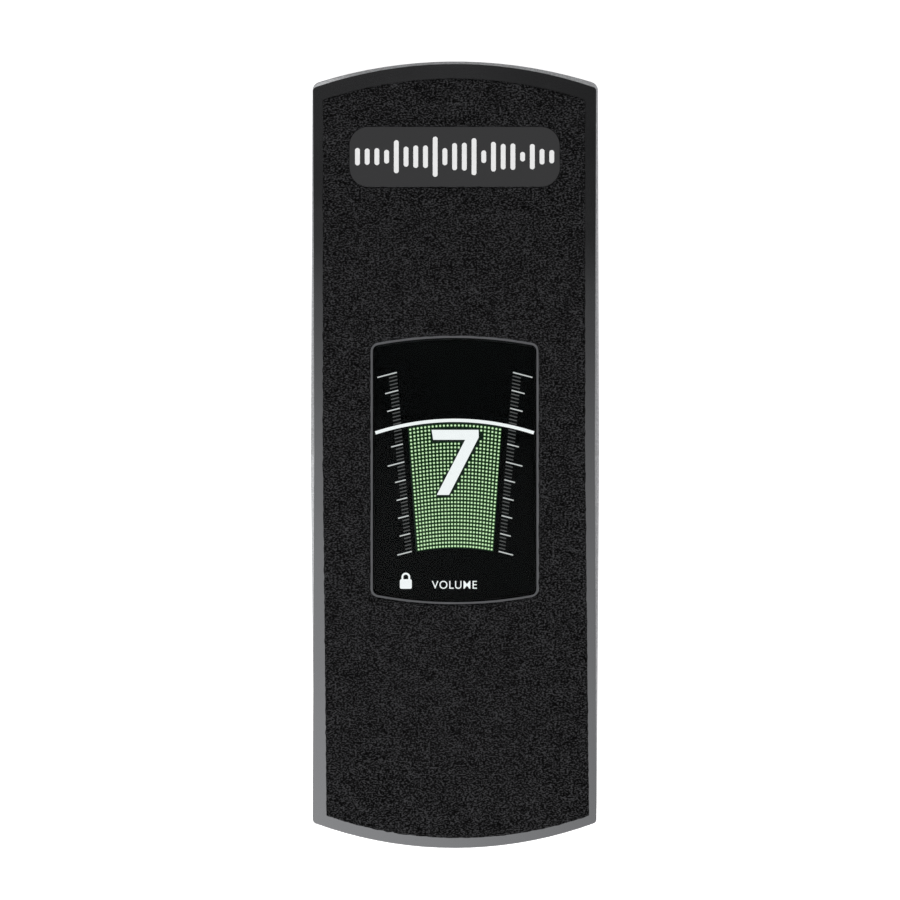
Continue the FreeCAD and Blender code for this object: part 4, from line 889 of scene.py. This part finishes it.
class PEDAL_OT_stage(bpy.types.Operator):
    """Sets the stage: a pale lit floor, soft studio light and the camera straight above"""

    bl_idname = "pedal.stage"
    bl_label = "Set the stage"

    def execute(self, context):
        self.floor()
        self.sky(context.scene)
        self.lights(context.scene)
        self.camera(context.scene)
        return {"FINISHED"}

    def floor(self):
        """A pale light table: it glows, so the shadow on it is faint, and is kept from lighting the pedal."""
        bm = bmesh.new()
        bmesh.ops.create_circle(bm, segments=64, radius=4.0, cap_ends=True)
        material, tree, shader, place = new_finish("light_table", "E6E6E6", 0.0, 0.9, **{
            "Emission Color": (1, 1, 1, 1), "Emission Strength": 0.8})
        clouds = add(tree, "TexNoise", {"Vector": place, "Scale": 0.5 / 0.3, "Detail": 2.0, "Roughness": 0.55})
        add(tree, "Mix", {0: clouds, 6: rgba("E2E2E2"), 7: rgba("EAEAEA")}, to=shader["Base Color"], **COLOURS)
        floor = finish_piece(bm, "floor", material, None, 0, outward=False)
        floor.visible_glossy = floor.visible_diffuse = False

    def sky(self, scene):
        """A studio seen as light by direction: dim overhead towards the toe, and wide soft light at the heel."""
        world = bpy.data.worlds.new("studio")
        scene.world = world
        world.use_nodes = True
        tree = world.node_tree
        tree.nodes.clear()
        way = add(tree, "SeparateXYZ", {"Vector": add(tree, "TexCoord", {}, "Generated")}).node.outputs
        along = add(tree, "MapRange", {"Value": way["Y"], "From Min": 0.2, "From Max": -0.2})
        overhead = add(tree, "ValToRGB", {"Fac": along})
        stops = overhead.node.color_ramp.elements
        for stop, (position, level) in zip(stops, (OVERHEAD[0], OVERHEAD[-1])):
            stop.position, stop.color = position, rgba((level,) * 3)
        for position, level in OVERHEAD[1:-1]:
            stops.new(position).color = rgba((level,) * 3)
        sideways = add(tree, "MapRange", {"Value": way["X"], "From Min": -0.08, "From Max": 0.08,
                                          "To Min": 1.28, "To Max": 0.57})
        over = add(tree, "Math", {0: overhead, 1: sideways}, operation="MULTIPLY")
        heelward = add(tree, "MapRange", {"Value": way["Y"], "From Min": 0.3, "From Max": -0.5,
                                          "To Min": 0.1, "To Max": 0.55}, **SMOOTH)
        low = add(tree, "MapRange", {"Value": way["Z"], "From Min": 0.955, "From Max": 0.8}, **SMOOTH)
        light = add(tree, "Mix", {0: low, 2: over, 3: heelward})
        below = add(tree, "MapRange", {"Value": way["Z"], "From Min": 0.05, "From Max": -0.15}, **SMOOTH)
        light = add(tree, "Mix", {0: below, 2: light, 3: 0.4})
        shine = add(tree, "Background", {"Color": (1, 1, 1, 1), "Strength": light})
        add(tree, "OutputWorld", {"Surface": shine})
        scene.view_settings.view_transform = "Standard"

    def lights(self, scene):
        """Two large soft lights, kept out of reflections as a studio's flagged lights are."""
        for name, place, width, power in (("key_light", (-0.62, -0.8, 1.0), 0.75, 13.5),
                                          ("fill_light", (1.1, 0.7, 1.7), 1.4, 15.0)):
            data = bpy.data.lights.new(name, "AREA")
            data.shape, data.size, data.energy = "SQUARE", width, power
            light = bpy.data.objects.new(name, data)
            light.matrix_world = Matrix.Translation(place) @ turn_to(place)
            light.visible_glossy = light.visible_transmission = False
            scene.collection.objects.link(light)

    def camera(self, scene):
        """A long lens straight above, a little to the right of the middle and towards the toe."""
        data = bpy.data.cameras.new("camera")
        data.sensor_width, data.lens = 36.0, 137.76
        data.shift_x, data.shift_y = -0.0361, -0.0411
        data.clip_start, data.clip_end = 0.01, 50
        camera = bpy.data.objects.new("camera", data)
        camera.location = (0.0089, 0.0137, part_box("treadle_plate")[1].z + 1.1)
        scene.collection.objects.link(camera)
        scene.camera = camera


class PEDAL_PT_panel(bpy.types.Panel):
    """Lists the pedal's sizes, colours and operators"""

    bl_idname = "PEDAL_PT_panel"
    bl_label = "Volume Pedal"
    bl_space_type = "VIEW_3D"
    bl_region_type = "UI"
    bl_category = "Volume Pedal"

    def draw(self, context):
        for group in (context.scene.pedal_sizes, context.scene.pedal_colours):
            box = self.layout.box()
            for name in group.bl_rna.properties.keys():
                if name not in {"rna_type", "name"}:
                    box.prop(group, name)
        for operator in OPERATORS:
            self.layout.operator(operator.bl_idname)


OPERATORS = (
    PEDAL_OT_finishes, PEDAL_OT_grip, PEDAL_OT_badge, PEDAL_OT_window, PEDAL_OT_picture,
    PEDAL_OT_drive_cord, PEDAL_OT_spring, PEDAL_OT_display_wires, PEDAL_OT_stage,
)
CLASSES = (PedalSizes, PedalColours, *OPERATORS, PEDAL_PT_panel)


def register():
    """Registers the classes and the settings."""
    for kind in CLASSES:
        bpy.utils.register_class(kind)
    bpy.types.Scene.pedal_sizes = PointerProperty(type=PedalSizes)
    bpy.types.Scene.pedal_colours = PointerProperty(type=PedalColours)


def unregister():
    """Takes the settings and the classes away."""
    del bpy.types.Scene.pedal_colours
    del bpy.types.Scene.pedal_sizes
    for kind in reversed(CLASSES):
        bpy.utils.unregister_class(kind)


def main():
    """Makes every piece and the stage."""
    register()
    for operator in OPERATORS:
        group, name = operator.bl_idname.split(".")
        getattr(getattr(bpy.ops, group), name)()


if __name__ == "__main__":
    main()
